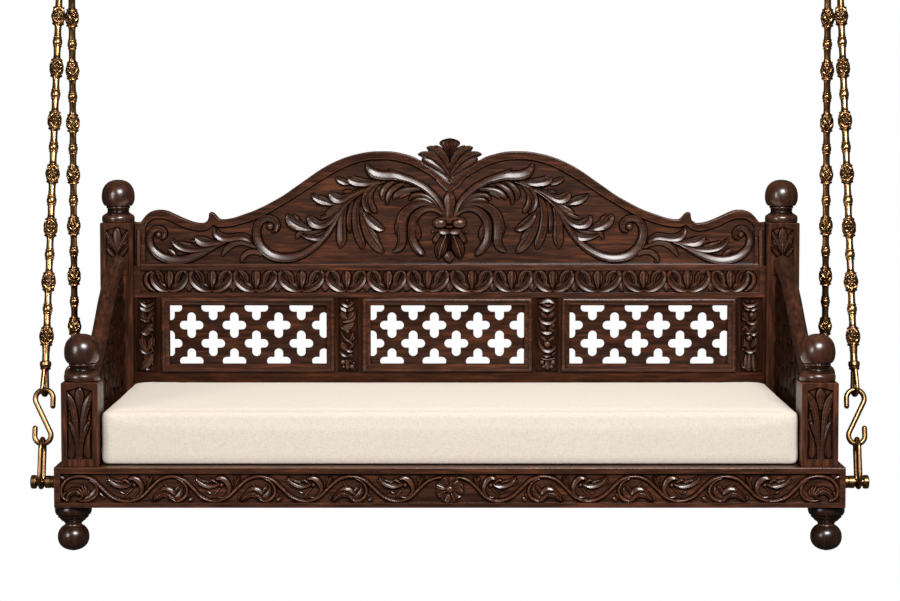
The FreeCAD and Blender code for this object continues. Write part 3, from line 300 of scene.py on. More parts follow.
# ------------------------------------------------------------------ mesh helpers
def spline(P, step):
    """Smooth curve through rows; the first two columns are the plane point, the rest ride along."""
    P = np.array(P, float)
    d = np.maximum(np.linalg.norm(np.diff(P[:, :2], axis=0), axis=1), 1e-6)
    t = np.r_[0.0, np.cumsum(d)]
    n = len(P)
    if n == 2:
        s = np.linspace(0, t[-1], max(3, int(t[-1] / step) + 1))
        return P[0] + (P[1] - P[0]) * (s / t[-1])[:, None]
    sec = np.diff(P, axis=0) / np.diff(t)[:, None]
    m = np.zeros_like(P)
    for i in range(1, n - 1):
        a, b = d[i - 1], d[i]
        m[i] = (sec[i - 1] * b + sec[i] * a) / (a + b)
    m[0], m[-1] = 2 * sec[0] - m[1], 2 * sec[-1] - m[-2]
    m[0, 2:], m[-1, 2:] = sec[0, 2:], sec[-1, 2:]
    s = np.linspace(0, t[-1], max(4, int(t[-1] / step) + 1))
    k = np.clip(np.searchsorted(t, s, side="right") - 1, 0, n - 2)
    h = d[k][:, None]
    x = ((s - t[k]) / d[k])[:, None]
    return ((2 * x**3 - 3 * x**2 + 1) * P[k] + (x**3 - 2 * x**2 + x) * h * m[k] + (-2 * x**3 + 3 * x**2) * P[k + 1] + (x**3 - x**2) * h * m[k + 1])


# cross sections: side position, height, carve value; negative carve values are painted shade in grooves and at the
# feet, positive ones lighten ridges as rubbed edges with painted highlight, and the line profile is a dark line of
# painted shade
PROF = {
    "leaf": [(-1, 0.28, -0.9), (-0.94, 0.66, 0.25), (-0.80, 0.78, 0.2), (-0.45, 0.84, -0.15), (-0.12, 0.94, 0.0), (0, 1, 0.5),
             (0.12, 0.94, 0.0), (0.45, 0.84, -0.15), (0.80, 0.78, 0.2), (0.94, 0.66, 0.25), (1, 0.28, -0.9)],
    "vein": [(-1, 0.28, -0.9), (-0.94, 0.62, 0.3), (-0.80, 0.76, 0.4), (-0.62, 0.64, -0.65), (-0.44, 0.88, 0.35), (-0.26, 0.76, -0.65), (-0.12, 0.97, 0.3),
             (0, 1, 0.5), (0.12, 0.97, 0.3), (0.26, 0.76, -0.65), (0.44, 0.88, 0.35), (0.62, 0.64, -0.65), (0.80, 0.76, 0.4), (0.94, 0.62, 0.3), (1, 0.28, -0.9)],
    "cup": [(-1, 0.34, -0.9), (-0.94, 0.84, 0.3), (-0.80, 1.0, 0.5), (-0.50, 0.93, 0.1), (-0.20, 0.85, 0.0), (0.06, 0.77, 0.05), (0.18, 0.56, -0.7),
            (0.38, 0.45, -0.7), (0.58, 0.47, -0.35), (0.72, 0.60, 0.2), (0.84, 0.66, 0.5), (0.94, 0.50, 0.1), (1, 0.28, -0.9)],
    "scroll": [(-1, 0.28, -0.9), (-0.95, 0.55, 0.25), (-0.84, 0.80, 0.4), (-0.70, 0.86, 0.2), (-0.60, 0.80, -0.5), (-0.52, 0.82, -0.75), (-0.44, 1.0, 0.2), (-0.28, 0.985, 0.0),
               (0.02, 0.91, 0.0), (0.32, 0.84, 0.0), (0.64, 0.765, 0.0), (0.78, 0.70, -0.1), (0.88, 0.56, 0.2), (0.95, 0.42, -0.2), (1, 0.24, -0.9)],
    "ledge": [(-1, 0.30, -0.9), (-0.92, 0.82, 0.2), (-0.76, 1.0, 0.45), (-0.30, 0.93, 0.2), (0.20, 0.84, 0.1), (0.66, 0.73, 0.1), (0.88, 0.60, 0.1), (1, 0.28, -0.9)],
    "bud": [(-1, 0.30, -0.9), (-0.93, 0.80, 0.3), (-0.82, 0.94, 0.4), (-0.66, 0.80, -0.3), (-0.42, 0.56, -0.8), (-0.20, 0.74, -0.2), (0, 0.98, 0.6),
            (0.20, 0.74, -0.2), (0.42, 0.56, -0.8), (0.66, 0.80, -0.3), (0.82, 0.94, 0.4), (0.93, 0.80, 0.3), (1, 0.30, -0.9)],
    "fan": [(-1, 0.40, -0.9), (-0.94, 0.92, 0.2), (-0.82, 1.0, 0.3), (-0.70, 0.74, -0.6), (-0.52, 0.84, 0.3), (-0.38, 0.66, -0.6), (-0.22, 0.80, 0.3), (-0.10, 0.66, -0.5), (0, 0.86, 0.5),
            (0.10, 0.66, -0.5), (0.22, 0.80, 0.3), (0.38, 0.66, -0.6), (0.52, 0.84, 0.3), (0.70, 0.74, -0.6), (0.82, 1.0, 0.3), (0.94, 0.92, 0.2), (1, 0.40, -0.9)],
    "round": [(-1, 0.12, -0.9), (-0.94, 0.40, -0.1), (-0.78, 0.68, 0.1), (-0.5, 0.88, 0.3), (-0.2, 0.98, 0.45), (0.1, 1.0, 0.45), (0.4, 0.93, 0.3), (0.7, 0.75, 0.1),
              (0.92, 0.43, -0.1), (1, 0.12, -0.9)],
    "blade": [(-1, 0.28, -0.9), (-0.94, 0.57, 0.3), (-0.80, 0.65, 0.3), (-0.45, 0.76, 0.05), (-0.10, 0.88, 0.05), (0.16, 1.0, 0.5), (0.28, 0.84, -0.5),
              (0.45, 0.66, -0.55), (0.65, 0.60, -0.2), (0.84, 0.60, 0.2), (0.94, 0.52, 0.2), (1, 0.28, -0.9)],
    "line": [(-1, 0.5, -0.6), (0, 1.0, -1.0), (1, 0.5, -0.6)],
}
SHAPES = {
    "leaf": lambda t: max(0.30 * (1 - t), math.sin(math.pi * min(1.0, t ** 0.85)) ** 0.75),
    "petal": lambda t: (0.30 + 0.70 * (t / 0.70) ** 1.1) if t < 0.70 else math.sqrt(max(0.0, 1 - ((t - 0.70) / 0.30) ** 2)),
    "husk": lambda t: math.sqrt(max(0.0, 1 - ((0.28 - t) / 0.28) ** 2 * 0.65)) if t < 0.28 else max(0.0, 1 - ((t - 0.28) / 0.72) ** 1.7),
    "lens": lambda t: math.sin(math.pi * t) ** 0.8 if 0 < t < 1 else 0.0,
    "lobe": lambda t: (0.55 + 0.45 * math.sin(math.pi / 2 * t / 0.6)) if t < 0.6 else math.sqrt(max(0.0, 1 - ((t - 0.6) / 0.4) ** 2)),
}


class Relief:
    """Collects carved shapes that stand off a plane: origin, two axes along it and its outward normal, in mm."""

    def __init__(self, y=0.0):
        self.V, self.A, self.F, self.n, self.count = [], [], [], 0, 0
        self.front(y)

    def front(self, y):
        self.plane((0, y, 0), (1, 0, 0), (0, 0, 1), (0, -1, 0))
        self.y = y
        return self

    def plane(self, o, u, w, n):
        self.O, self.U, self.W, self.N = (np.array(a, float) for a in (o, u, w, n))
        return self

    def grid(self, P, H, A, wrap=False, flip=False):
        """P (rows, cols, 2), H and A (rows, cols). Rows run along the first tangent, columns to its left."""
        r, c = H.shape
        pts = self.O + P[..., 0:1] * self.U + P[..., 1:2] * self.W + H[..., None] * self.N
        base = self.n
        self.V.append(pts.reshape(-1, 3))
        self.A.append(np.asarray(A, float).reshape(-1))
        self.n += r * c
        i = np.arange(r - 1)[:, None]
        j = np.arange(c if wrap else c - 1)[None, :]
        j2 = (j + 1) % c
        q = np.stack([base + i * c + j, base + (i + 1) * c + j, base + (i + 1) * c + j2, base + i * c + j2], -1).reshape(-1, 4)
        self.F.append(q[:, ::-1] if flip else q)

    def strip(self, rows, h=9.0, prof="leaf", flip=False, skirt=2.0, step=2.6, lift=None, free=False, ridge=0.0, low=0.0, tip=True, deep=0.0):
        R = spline(rows, step)
        C, w = R[:, :2], np.maximum(R[:, 2], 0.5) / 2
        hf = R[:, 3] if R.shape[1] > 3 else np.ones(len(R))
        T = np.gradient(C, axis=0)
        T /= np.maximum(np.linalg.norm(T, axis=1), 1e-9)[:, None]
        S = np.stack([-T[:, 1], T[:, 0]], 1)
        hh = h * hf * np.clip(0.34 + 1.25 * w / w.max(), 0.4, 1.0)
        pr = PROF[prof]
        if flip:
            pr = [(-s, k, a) for s, k, a in reversed(pr)]
        if lift is None:
            self.count += 1
            lift = 0.15 + 0.011 * (self.count % 37)
        base = lift - deep
        k_ = skirt * 1.7
        # a painted shadow runs round every shape: foot, then a dark band that fades into the ground
        side = [(1, k_, None, -0.25), (1, k_ * 0.62, None, -1.0)] if skirt > 0 else []
        cols = [(-1, -o, None, a) for _, o, _, a in side]
        cols.append((-1, 0, base, -1.0))
        for s, k, a in pr:
            cols.append((s + ridge * (1 - abs(s)), 0, k, a))
        cols.append((1, 0, base, -1.0))
        cols += [(1, o, None, a) for _, o, _, a in reversed(side)]
        n, c = len(C), len(cols)
        P, H, A = np.zeros((n, c, 2)), np.zeros((n, c)), np.zeros((n, c))
        first, last = len(side), c - 1 - len(side)
        for j, (s, off, k, a) in enumerate(cols):
            P[:, j] = C + S * (s * w + off)[:, None]
            if k is None:
                H[:, j] = lift
            elif j in (first, last):
                H[:, j] = base
            else:
                H[:, j] = low + k * hh
            A[:, j] = a
        ends = []
        g = max(k_, 0.4)
        flat = lift if skirt > 0 else base
        end_a = np.full((1, c), -0.25 if skirt > 0 else -1.0)
        if tip:
            ends.append((1, np.repeat((C[-1] + T[-1] * g)[None], c, 0)[None]))
        if free:
            ends.append((0, np.repeat((C[0] - T[0] * g)[None], c, 0)[None]))
        for where, p in ends:
            hq = np.full((1, c), flat)
            near = C[-1] + T[-1] * 0.3 if where else C[0] - T[0] * 0.3
            foot = np.repeat((near)[None], c, 0)[None]
            wide = foot.copy()
            if skirt > 0:
                sl = S[-1] if where else S[0]
                for j in range(c):
                    if j < first:
                        wide[0, j] = near - sl * cols[j][1] * -1
                    elif j > last:
                        wide[0, j] = near + sl * cols[j][1]
            fa = np.array([[cols[j][3] if (j < first or j > last) else -1.0 for j in range(c)]])
            blocks = ([wide, p], [np.full((1, c), flat), hq], [fa, end_a])
            if not where:
                blocks = tuple(list(reversed(b_)) for b_ in blocks)
                P, H, A = np.concatenate(blocks[0] + [P]), np.concatenate(blocks[1] + [H]), np.concatenate(blocks[2] + [A])
            else:
                P, H, A = np.concatenate([P] + blocks[0]), np.concatenate([H] + blocks[1]), np.concatenate([A] + blocks[2])
        self.grid(P, H, A)
        if deep > 0:
            # closed underside, for shapes that stand free above the board
            b = [first, last]
            self.grid(P[:, b][:, ::-1], H[:, b][:, ::-1], A[:, b][:, ::-1])

    def px(self, rows, **k):
        """A strip drawn on the front elevation."""
        self.strip(rows_at(rows, self.y), **k)

    def leaf(self, base, tip, width, bend=0.0, shape="leaf", curl=0.0, h=8.0, n=9, **k):
        """A leaf from base to tip in plane mm; bend shifts its middle to the left by that share of its length."""
        b, t = np.array(base, float), np.array(tip, float)
        d = t - b
        s = np.array([-d[1], d[0]])
        rows = []
        for i in range(n):
            x = i / (n - 1)
            p = b + d * x + s * (bend * 4 * x * (1 - x) + curl * x ** 3 * (1 - x) * 4)
            rows.append((p[0], p[1], max(width * SHAPES[shape](x), 0.6), 1.0))
        self.strip(rows, h=h, **k)

    def leafpx(self, base, tip, width, **k):
        kk = pxmm(self.y)
        self.leaf(E(*base, self.y), E(*tip, self.y), width * kk, **k)

    def dome(self, a, b, ra, rb, h, rot=0.0, skirt=2.0, wall=0.25, seg=26, lift=None, top=0.6, power=2.0):
        ang = np.linspace(0, 2 * math.pi, seg, endpoint=False)
        if lift is None:
            self.count += 1
            lift = 0.15 + 0.011 * (self.count % 37)
        # the dark rings round the foot are painted shadow, and the carve value rising toward the top lightens the crown
        # as rubbed wear with painted highlight
        rings = []
        if skirt > 0:
            rings.append((1.0, skirt * 1.7, lift, -0.25))
            rings.append((1.0, skirt * 1.05, lift, -1.0))
        rings.append((1.0, 0.0, lift, -1.0))
        rings.append((1.0, 0.0, wall * h, -0.6))
        for q in (0.93, 0.82, 0.66, 0.46, 0.22, 0.04):
            rings.append((q, 0.0, h * (wall + (1 - wall) * (1 - q**power) ** (1 / power)), top * (1 - q)))
        cr, sr = math.cos(rot), math.sin(rot)
        P, H, A = np.zeros((len(rings), seg, 2)), np.zeros((len(rings), seg)), np.zeros((len(rings), seg))
        for i, (q, off, hh, aa) in enumerate(rings):
            x, z = (ra * q + off) * np.cos(ang), (rb * q + off) * np.sin(ang)
            P[i, :, 0], P[i, :, 1] = a + cr * x - sr * z, b + sr * x + cr * z
            H[i], A[i] = hh, aa
        self.grid(P, H, A, wrap=True, flip=True)

    def domepx(self, u, v, r, h, r2=None, **k):
        x, z = E(u, v, self.y)
        kk = pxmm(self.y)
        self.dome(x, z, r * kk, (r2 or r) * kk, h, **k)

    def arrays(self):
        return np.concatenate(self.V), np.concatenate(self.A), np.concatenate(self.F)

    def mirrored(self, warp=None):
        """The same shapes on the other side of X = 0."""
        v, a, f = self.arrays()
        w = v.copy()
        w[:, 0] *= -1
        if warp is not None:
            w[:, 0] = warp(w[:, 0])
        return w, a, f[:, ::-1]


def build(name, v, f, material, body, attr=None, smooth=None, weld=0.0):
    """Mesh object from vertices in drawing mm."""
    me = bpy.data.meshes.new(name)
    me.from_pydata(((np.asarray(v, float) + OFF) / 1000.0).tolist(), [], [list(map(int, q)) for q in f])
    if attr is not None:
        at = me.attributes.new("carve", "FLOAT", "POINT")
        at.data.foreach_set("value", np.asarray(attr, np.float32))
    bm = bmesh.new()
    bm.from_mesh(me)
    bmesh.ops.remove_doubles(bm, verts=bm.verts, dist=max(weld, 1e-6))
    bmesh.ops.dissolve_degenerate(bm, edges=bm.edges, dist=1e-6)
    bm.to_mesh(me)
    bm.free()
    me.shade_smooth()
    if smooth:
        me.set_sharp_from_angle(angle=math.radians(smooth))
    me.materials.append(material)
    o = bpy.data.objects.new(name, me)
    bpy.context.scene.collection.objects.link(o)
    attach(o, body)
    return o


def both_sides(name, rel, material, warp=None, smooth=55):
    """The left piece and its mirror image as two objects on the swing."""
    v, a, f = rel.arrays()
    build(name + "_left", v, f, material, "swing", a, smooth)
    v, a, f = rel.mirrored(warp)
    build(name + "_right", v, f, material, "swing", a, smooth)


def revolve(profile, seg=64):
    """Closed surface of revolution about Z from (radius, z) rows; profile may start or end off the axis."""
    pr = np.array(profile, float)
    ang = np.linspace(0, 2 * math.pi, seg, endpoint=False)
    v = np.stack([pr[:, 0, None] * np.cos(ang), pr[:, 0, None] * np.sin(ang), np.repeat(pr[:, 1, None], seg, 1)], -1)
    n = len(pr)
    f = []
    for i in range(n - 1):
        for j in range(seg):
            k = (j + 1) % seg
            f.append((i * seg + j, i * seg + k, (i + 1) * seg + k, (i + 1) * seg + j))
    return v.reshape(-1, 3), np.array(f)


def dense(profile, step, keep=32):
    """Rows of a profile with extra rows along smooth runs, keeping corners sharper than keep degrees."""
    P = np.array(profile, float)
    d = np.diff(P, axis=0)
    ln = np.linalg.norm(d, axis=1)
    out, start = [], 0
    for i in range(1, len(P) - 1):
        a, b = d[i - 1], d[i]
        c = math.degrees(math.acos(np.clip(a @ b / max(ln[i - 1] * ln[i], 1e-9), -1, 1)))
        if c > keep:
            out.append(P[start:i + 1])
            start = i
    out.append(P[start:])
    rows = []
    for seg in out:
        if len(seg) > 2:
            s = spline(seg, step)
        else:
            m = max(2, int(np.linalg.norm(seg[1] - seg[0]) / (step * 2)) + 1)
            s = seg[0] + (seg[1] - seg[0]) * np.linspace(0, 1, m)[:, None]
        rows.append(s)
    return np.concatenate([r if i == 0 else r[1:] for i, r in enumerate(rows)])


def normals_out(o):
    bm = bmesh.new()
    bm.from_mesh(o.data)
    bmesh.ops.recalc_face_normals(bm, faces=bm.faces)
    bm.to_mesh(o.data)
    bm.free()
    return o


def even_faces(o):
    wn = o.modifiers.new("even_faces", "WEIGHTED_NORMAL")
    wn.mode = "FACE_AREA"
    wn.weight = 50
    wn.keep_sharp = True


def refine(node, material, bevel=1.1, seg=2, body="swing", angle=35, even=True):
    """The node's own shape with eased edges, as its finished surface."""
    src = NODES[node].data

    def make(width):
        bm = bmesh.new()
        bm.from_mesh(src)
        bmesh.ops.remove_doubles(bm, verts=bm.verts, dist=2e-6)
        bmesh.ops.recalc_face_normals(bm, faces=bm.faces)
        before = bm.calc_volume()
        if width:
            bmesh.ops.dissolve_limit(bm, angle_limit=math.radians(0.6), verts=bm.verts, edges=bm.edges, delimit={"NORMAL"})
            sharp = [e for e in bm.edges if len(e.link_faces) == 2 and e.calc_face_angle(0) > math.radians(angle)]
            lay = bm.loops.layers.float.new("carve")
            r = bmesh.ops.bevel(bm, geom=sharp, offset=width / 1000, offset_type="OFFSET", segments=seg, profile=0.6, affect="EDGES", clamp_overlap=True, loop_slide=True)
            # the eased edges get a lighter carve value: rubbed edges with painted highlight
            for f in r["faces"]:
                for lp in f.loops:
                    lp[lay] = 0.5
            bmesh.ops.recalc_face_normals(bm, faces=bm.faces)
        bmesh.ops.triangulate(bm, faces=[f for f in bm.faces if len(f.verts) > 4])
        return bm, before, bm.calc_volume()

    bm, before, after = make(bevel)
    if bevel and abs(after - before) > 0.03 * abs(before):
        bm.free()
        bm, before, after = make(0)
    if after < 0:
        bmesh.ops.reverse_faces(bm, faces=bm.faces)
    for f in bm.faces:
        f.smooth = True
    me = bpy.data.meshes.new(node + "_finish")
    bm.to_mesh(me)
    bm.free()
    for v in me.attributes:
        if v.name.startswith("custom_normal"):
            me.attributes.remove(v)
            break
    me.set_sharp_from_angle(angle=math.radians(40))
    me.materials.append(material)
    o = bpy.data.objects.new(node + "_finish", me)
    bpy.context.scene.collection.objects.link(o)
    if even:
        even_faces(o)
    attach(o, body)
    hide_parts(node)
    return o


# ------------------------------------------------------------------ crest board
def curve1(pts, kinks=()):
    """Smooth z(x) through points, with corners at the x values in kinks."""
    P = np.array(pts, float)
    x, z = P[:, 0], P[:, 1]
    keep = np.r_[True, np.diff(x) > 1e-6]
    x, z = x[keep], z[keep]
    s = np.diff(z) / np.diff(x)
    m = np.zeros(len(x))
    for i in range(1, len(x) - 1):
        if s[i - 1] * s[i] > 0:
            a, b = x[i] - x[i - 1], x[i + 1] - x[i]
            m[i] = (s[i - 1] * b + s[i] * a) / (a + b)
            lim = 3 * min(abs(s[i - 1]), abs(s[i]))
            m[i] = math.copysign(min(abs(m[i]), lim), s[i])
    m[0], m[-1] = s[0], s[-1]
    ml, mr = m.copy(), m.copy()
    for i, xi in enumerate(x):
        if any(abs(xi - k) < 0.2 for k in kinks) and 0 < i < len(x) - 1:
            ml[i], mr[i] = s[i - 1], s[i]

    def f(q):
        q = np.clip(np.asarray(q, float), x[0], x[-1])
        k = np.clip(np.searchsorted(x, q, side="right") - 1, 0, len(x) - 2)
        h = x[k + 1] - x[k]
        t = (q - x[k]) / h
        return (2 * t**3 - 3 * t**2 + 1) * z[k] + (t**3 - 2 * t**2 + t) * h * mr[k] + (-2 * t**3 + 3 * t**2) * z[k + 1] + (t**3 - t**2) * h * ml[k + 1]
    return f


CREST = [(-853.0, 569.5), (-839.3, 569.5), (-836.3, 573.6), (-825.1, 587.4), (-811.2, 598.5), (-797.4, 602.6),
         (-783.5, 603.1), (-767.0, 599.9), (-747.6, 591.4), (-728.4, 582.5), (-709.0, 574.4), (-692.5, 569.2),
         (-676.0, 567.3), (-664.8, 569.2), (-656.7, 574.9), (-653.6, 584.7), (-653.1, 592.8), (-648.2, 597.1),
         (-641.1, 594.2), (-634.4, 587.4), (-627.4, 579.8), (-617.9, 577.1), (-604.1, 578.2), (-584.6, 582.5),
         (-562.6, 590.1), (-534.9, 599.9), (-507.0, 612.3), (-479.3, 626.9), (-451.6, 642.7), (-416.8, 667.0),
         (-387.3, 687.6), (-358.0, 708.2), (-328.4, 725.7), (-299.2, 739.5), (-269.7, 750.1), (-240.4, 757.1),
         (-211.2, 761.4), (-181.7, 762.2), (-152.5, 760.9), (-123.1, 754.9), (-99.8, 747.6), (-82.2, 738.2),
         (-70.3, 728.7), (-49.8, 715.5), (-29.2, 699.2), (-11.6, 684.6), (0.0, 678.5)]
CREST_IN = [(-826.7, 555.4), (-822.6, 563.8), (-811.4, 574.9), (-797.5, 580.3), (-781.0, 580.3),
            (-764.2, 576.3), (-742.4, 566.5), (-720.2, 556.2), (-698.3, 550.0), (-676.1, 547.2), (-659.5, 550.0),
            (-648.4, 557.0), (-640.0, 563.8), (-631.9, 558.9), (-618.0, 557.0), (-595.8, 558.9), (-568.2, 565.1),
            (-540.5, 573.6), (-507.1, 587.4), (-479.4, 602.6), (-451.7, 619.1), (-411.0, 643.5), (-375.7, 667.0),
            (-340.4, 688.9), (-305.2, 709.5), (-270.0, 725.7), (-234.8, 736.0), (-199.6, 740.3), (-164.5, 739.5),
            (-129.3, 733.6), (-99.8, 724.1), (-70.3, 708.2), (-41.1, 688.9), (-26.5, 674.3), (-11.6, 659.7), (0.0, 652.0)]
z_out = curve1(CREST, kinks=(-839.3, -656.7, -653.6))
z_in = curve1(CREST_IN, kinks=(-640.0,))


def crest_board():
    xs = np.unique(np.concatenate([np.arange(-850.6, 0.1, 3.0), [p[0] for p in CREST if p[0] > -850], [p[0] for p in CREST_IN],
                                   [-852.6, -850.2, -830.6, -828.6, -827.2, -826.8, -826.2, -655.6, -654.6, -654.0, -652.4, -650.8, -645, -638, 0.0]]))
    xs = np.concatenate([xs, -xs[::-1][1:]])
    zb, fz = 451.2, 456.6
    F0, FIELD, BACK = 625.0, 635.0, 661.0
    cols_v, cols_a = [], []
    for x in xs:
        q = -abs(x)
        zo = float(z_out(q))
        inside = q > -826.9
        zi = float(z_in(q)) if inside else None
        edge = 1.4 if abs(q) < 851.5 else 0.3
        ends = 0.0 if abs(q) < 852.0 else 1.0
        # the third value of each point is its carve value: negative values paint shade into the field's corners, the
        # rim's foot and its grooves, and positive values lighten the edges as rubbed edges with painted highlight,
        # chiefly the line along the rim's outer edge
        pts = [(BACK - 1.2, zb, 0.3), (F0 + 1.2, zb, 0.3), (F0 + ends, zb + 1.2, 0.6), (F0 + ends, fz - 1.0, 0.3), (F0 + 0.7, fz, 0.6)]
        if inside:
            hgt = zo - zi
            pts += [(FIELD - 0.6, fz + 0.5, -0.9), (FIELD, fz + 2.0, -0.35), (FIELD, fz + 3.4, -0.05)]
            for t in (0.08, 0.3, 0.6, 0.9):
                pts.append((FIELD, fz + 4.2 + (zi - 6.0 - fz - 4.2) * t, 0.0))
            pts += [(FIELD, zi - 4.6, -0.15), (FIELD, zi - 3.0, -0.75), (FIELD, zi - 0.6, -1.0), (F0 + 3.2, zi, -0.95), (F0 + 1.0, zi + 1.0, 0.45), (F0 + 0.2, zi + 2.6, 0.25),
                    (F0 + 0.4, zi + 4.4, 0.0), (F0 + 1.7, zi + 5.6, -0.35), (F0 + 1.1, zi + 7.2, 0.1), (F0 + 0.5, zi + 0.55 * hgt, -0.12),
                    (F0 + 0.2, zi + 0.72 * hgt, -0.3), (F0 - 0.2 + 0.2, zo - 3.2, -0.3)]
        else:
            m = zo - fz
            pts += [(F0 + 0.9, fz + 0.6, 0.0)]
            pts += [(F0 + 0.9, fz + m * t, 0.0) for t in (0.04, 0.08, 0.2, 0.32, 0.44, 0.48, 0.52)]
            pts += [(F0 + 0.9, fz + m * t, 0.0) for t in (0.58, 0.64, 0.70, 0.76, 0.82, 0.86, 0.89, 0.92, 0.94)]
            pts += [(F0 + 0.6, zo - 4.0, 0.0), (F0 + 0.2, zo - 3.2, 0.2)]
        pts += [(F0 + 0.5, zo - edge, 0.6), (F0 + edge + 0.4, zo - 0.25, 0.0), (F0 + edge + 1.6, zo, -0.5), (BACK - 3.0, zo, -0.4), (BACK - 1.0, zo - 0.4, 0.4),
                (BACK, zo - 1.6, 0.2), (BACK, zb + 1.2, 0.2)]
        cols_v.append([(x, y, z) for y, z, _ in pts])
        cols_a.append([a for _, _, a in pts])
    n, c = len(xs), len(cols_v[0])
    assert all(len(q) == c for q in cols_v)
    v = np.array(cols_v, float).reshape(-1, 3)
    a = np.array(cols_a, float).reshape(-1)
    f = []
    for i in range(n - 1):
        for j in range(c):
            k = (j + 1) % c
            f.append((i * c + j, (i + 1) * c + j, (i + 1) * c + k, i * c + k))
    f.append(tuple(range(c)))
    f.append(tuple((n - 1) * c + j for j in reversed(range(c))))
    o = build("crest_board_finish", v, f, WOOD_X, "swing", a, 38)
    normals_out(o)
    even_faces(o)
    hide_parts("crest_board")
    return o


crest_board()

# ------------------------------------------------------------------ crest carving, left half; the right half is its mirror image
C = Relief(635.0)


def carve(rel, items):
    for it in items:
        rows, prof, h = it[0], it[1], it[2]
        kw = it[3] if len(it) > 3 else {}
        rel.px(rows, h=h, prof=prof.rstrip("!"), flip=prof.endswith("!"), **kw)


carve(C, [
    ([(160.2, 238.6, 1.8, 1.1), (163.6, 237.0, 4.6, 1.06), (164.6, 233.2, 5.6), (161.8, 229.6, 6.0), (156.8, 228.8, 6.0), (152.2, 231.8, 6.0), (149.9, 237.6, 6.2), (150.2, 243.0, 6.6), (151.8, 247.6, 7.2), (156.4, 253.0, 8.0), (163, 257.2, 8.4), (171, 259.6, 8.6), (180, 260.0, 8.4),
      (189.4, 258.2, 8.0), (199, 254.4, 7.0), (209, 249.6, 5.4), (218, 245, 4.0), (226.8, 241.4, 3.0)], "scroll", 13.5, {"free": True}),
    ([(216, 245.2, 3), (206, 247.8, 4.6), (197, 249.2, 6), (188.6, 249.2, 6.4), (181, 247.2, 6), (175.4, 243.4, 4.6), (171.8, 238.6, 2)], "cup!", 11.5),
    ([(196, 246, 2), (188, 244.6, 4), (182.4, 243, 3), (179.6, 241.2, 1.4)], "leaf", 9.0),
    ([(199, 245, 1.6), (194.6, 241.8, 3.4), (191, 240.8, 1.4)], "leaf", 8.5),
    ([(225, 241.2, 2.6), (218, 242.2, 4.6), (211.4, 242.6, 7), (205.4, 242.2, 10), (200.4, 240.6, 9.5), (197, 237.6, 5), (196, 235.6, 1.4)], "cup!", 12.5),
    ([(252, 242, 3.4), (247, 238, 6), (241.4, 236.6, 7), (234.6, 237.4, 7), (227.6, 238.2, 7.4), (221, 237, 8), (216.8, 233.4, 6.6), (215.6, 229, 3.6), (215.4, 227.2, 1.2)], "cup!", 13.5),
    ([(256, 247.6, 2.6), (248, 244, 4), (239, 242.6, 5), (231.4, 245, 5.6), (225.6, 250, 5), (222.2, 256, 1.6)], "leaf", 10.0, {"ridge": -0.2}),
    ([(262.4, 253.8, 5), (255, 251.8, 5), (248.4, 252.4, 5), (243.4, 256.4, 4.6), (241.8, 262.2, 1.8)], "leaf", 10.5, {"ridge": -0.25}),
    ([(176.6, 256.4, 2), (172.8, 252.6, 5), (168.4, 249.6, 3)], "leaf", 9.5),
])
C.domepx(158.9, 234.4, 3.3, 15.0, skirt=1.2)
C.domepx(244.5, 261.0, 1.1, 11.0, skirt=0.6)
carve(C, [
    ([(271.6, 231.6, 1.8, 1.1), (275.8, 229.6, 5.0, 1.06), (277.2, 225.0, 6.2), (274.4, 220.6, 6.6), (269.0, 218.4, 6.8), (263.2, 219.4, 7.0), (258.6, 224.0, 7.4), (256.8, 230.6, 8.0), (257.4, 238.6, 8.4), (261.4, 247.2, 8.8), (268.2, 253.6, 9.0), (277.0, 257.2, 8.8),
      (286.4, 258.0, 8.4), (296.4, 256.4, 7.8), (306.7, 251.8, 7.0), (317.5, 244.2, 6.2), (326.2, 235.0, 5.6), (332.7, 225.4, 5.0), (338.1, 215.8, 4.4), (343.8, 207.2, 4.0),
      (350.4, 200.3, 3.6), (358.9, 193.8, 3.2), (369.8, 187.3, 2.8), (384.6, 181.6, 2.2)], "scroll", 14.0, {"free": True}),
])
C.domepx(270.4, 226.2, 3.8, 15.6, skirt=1.2)
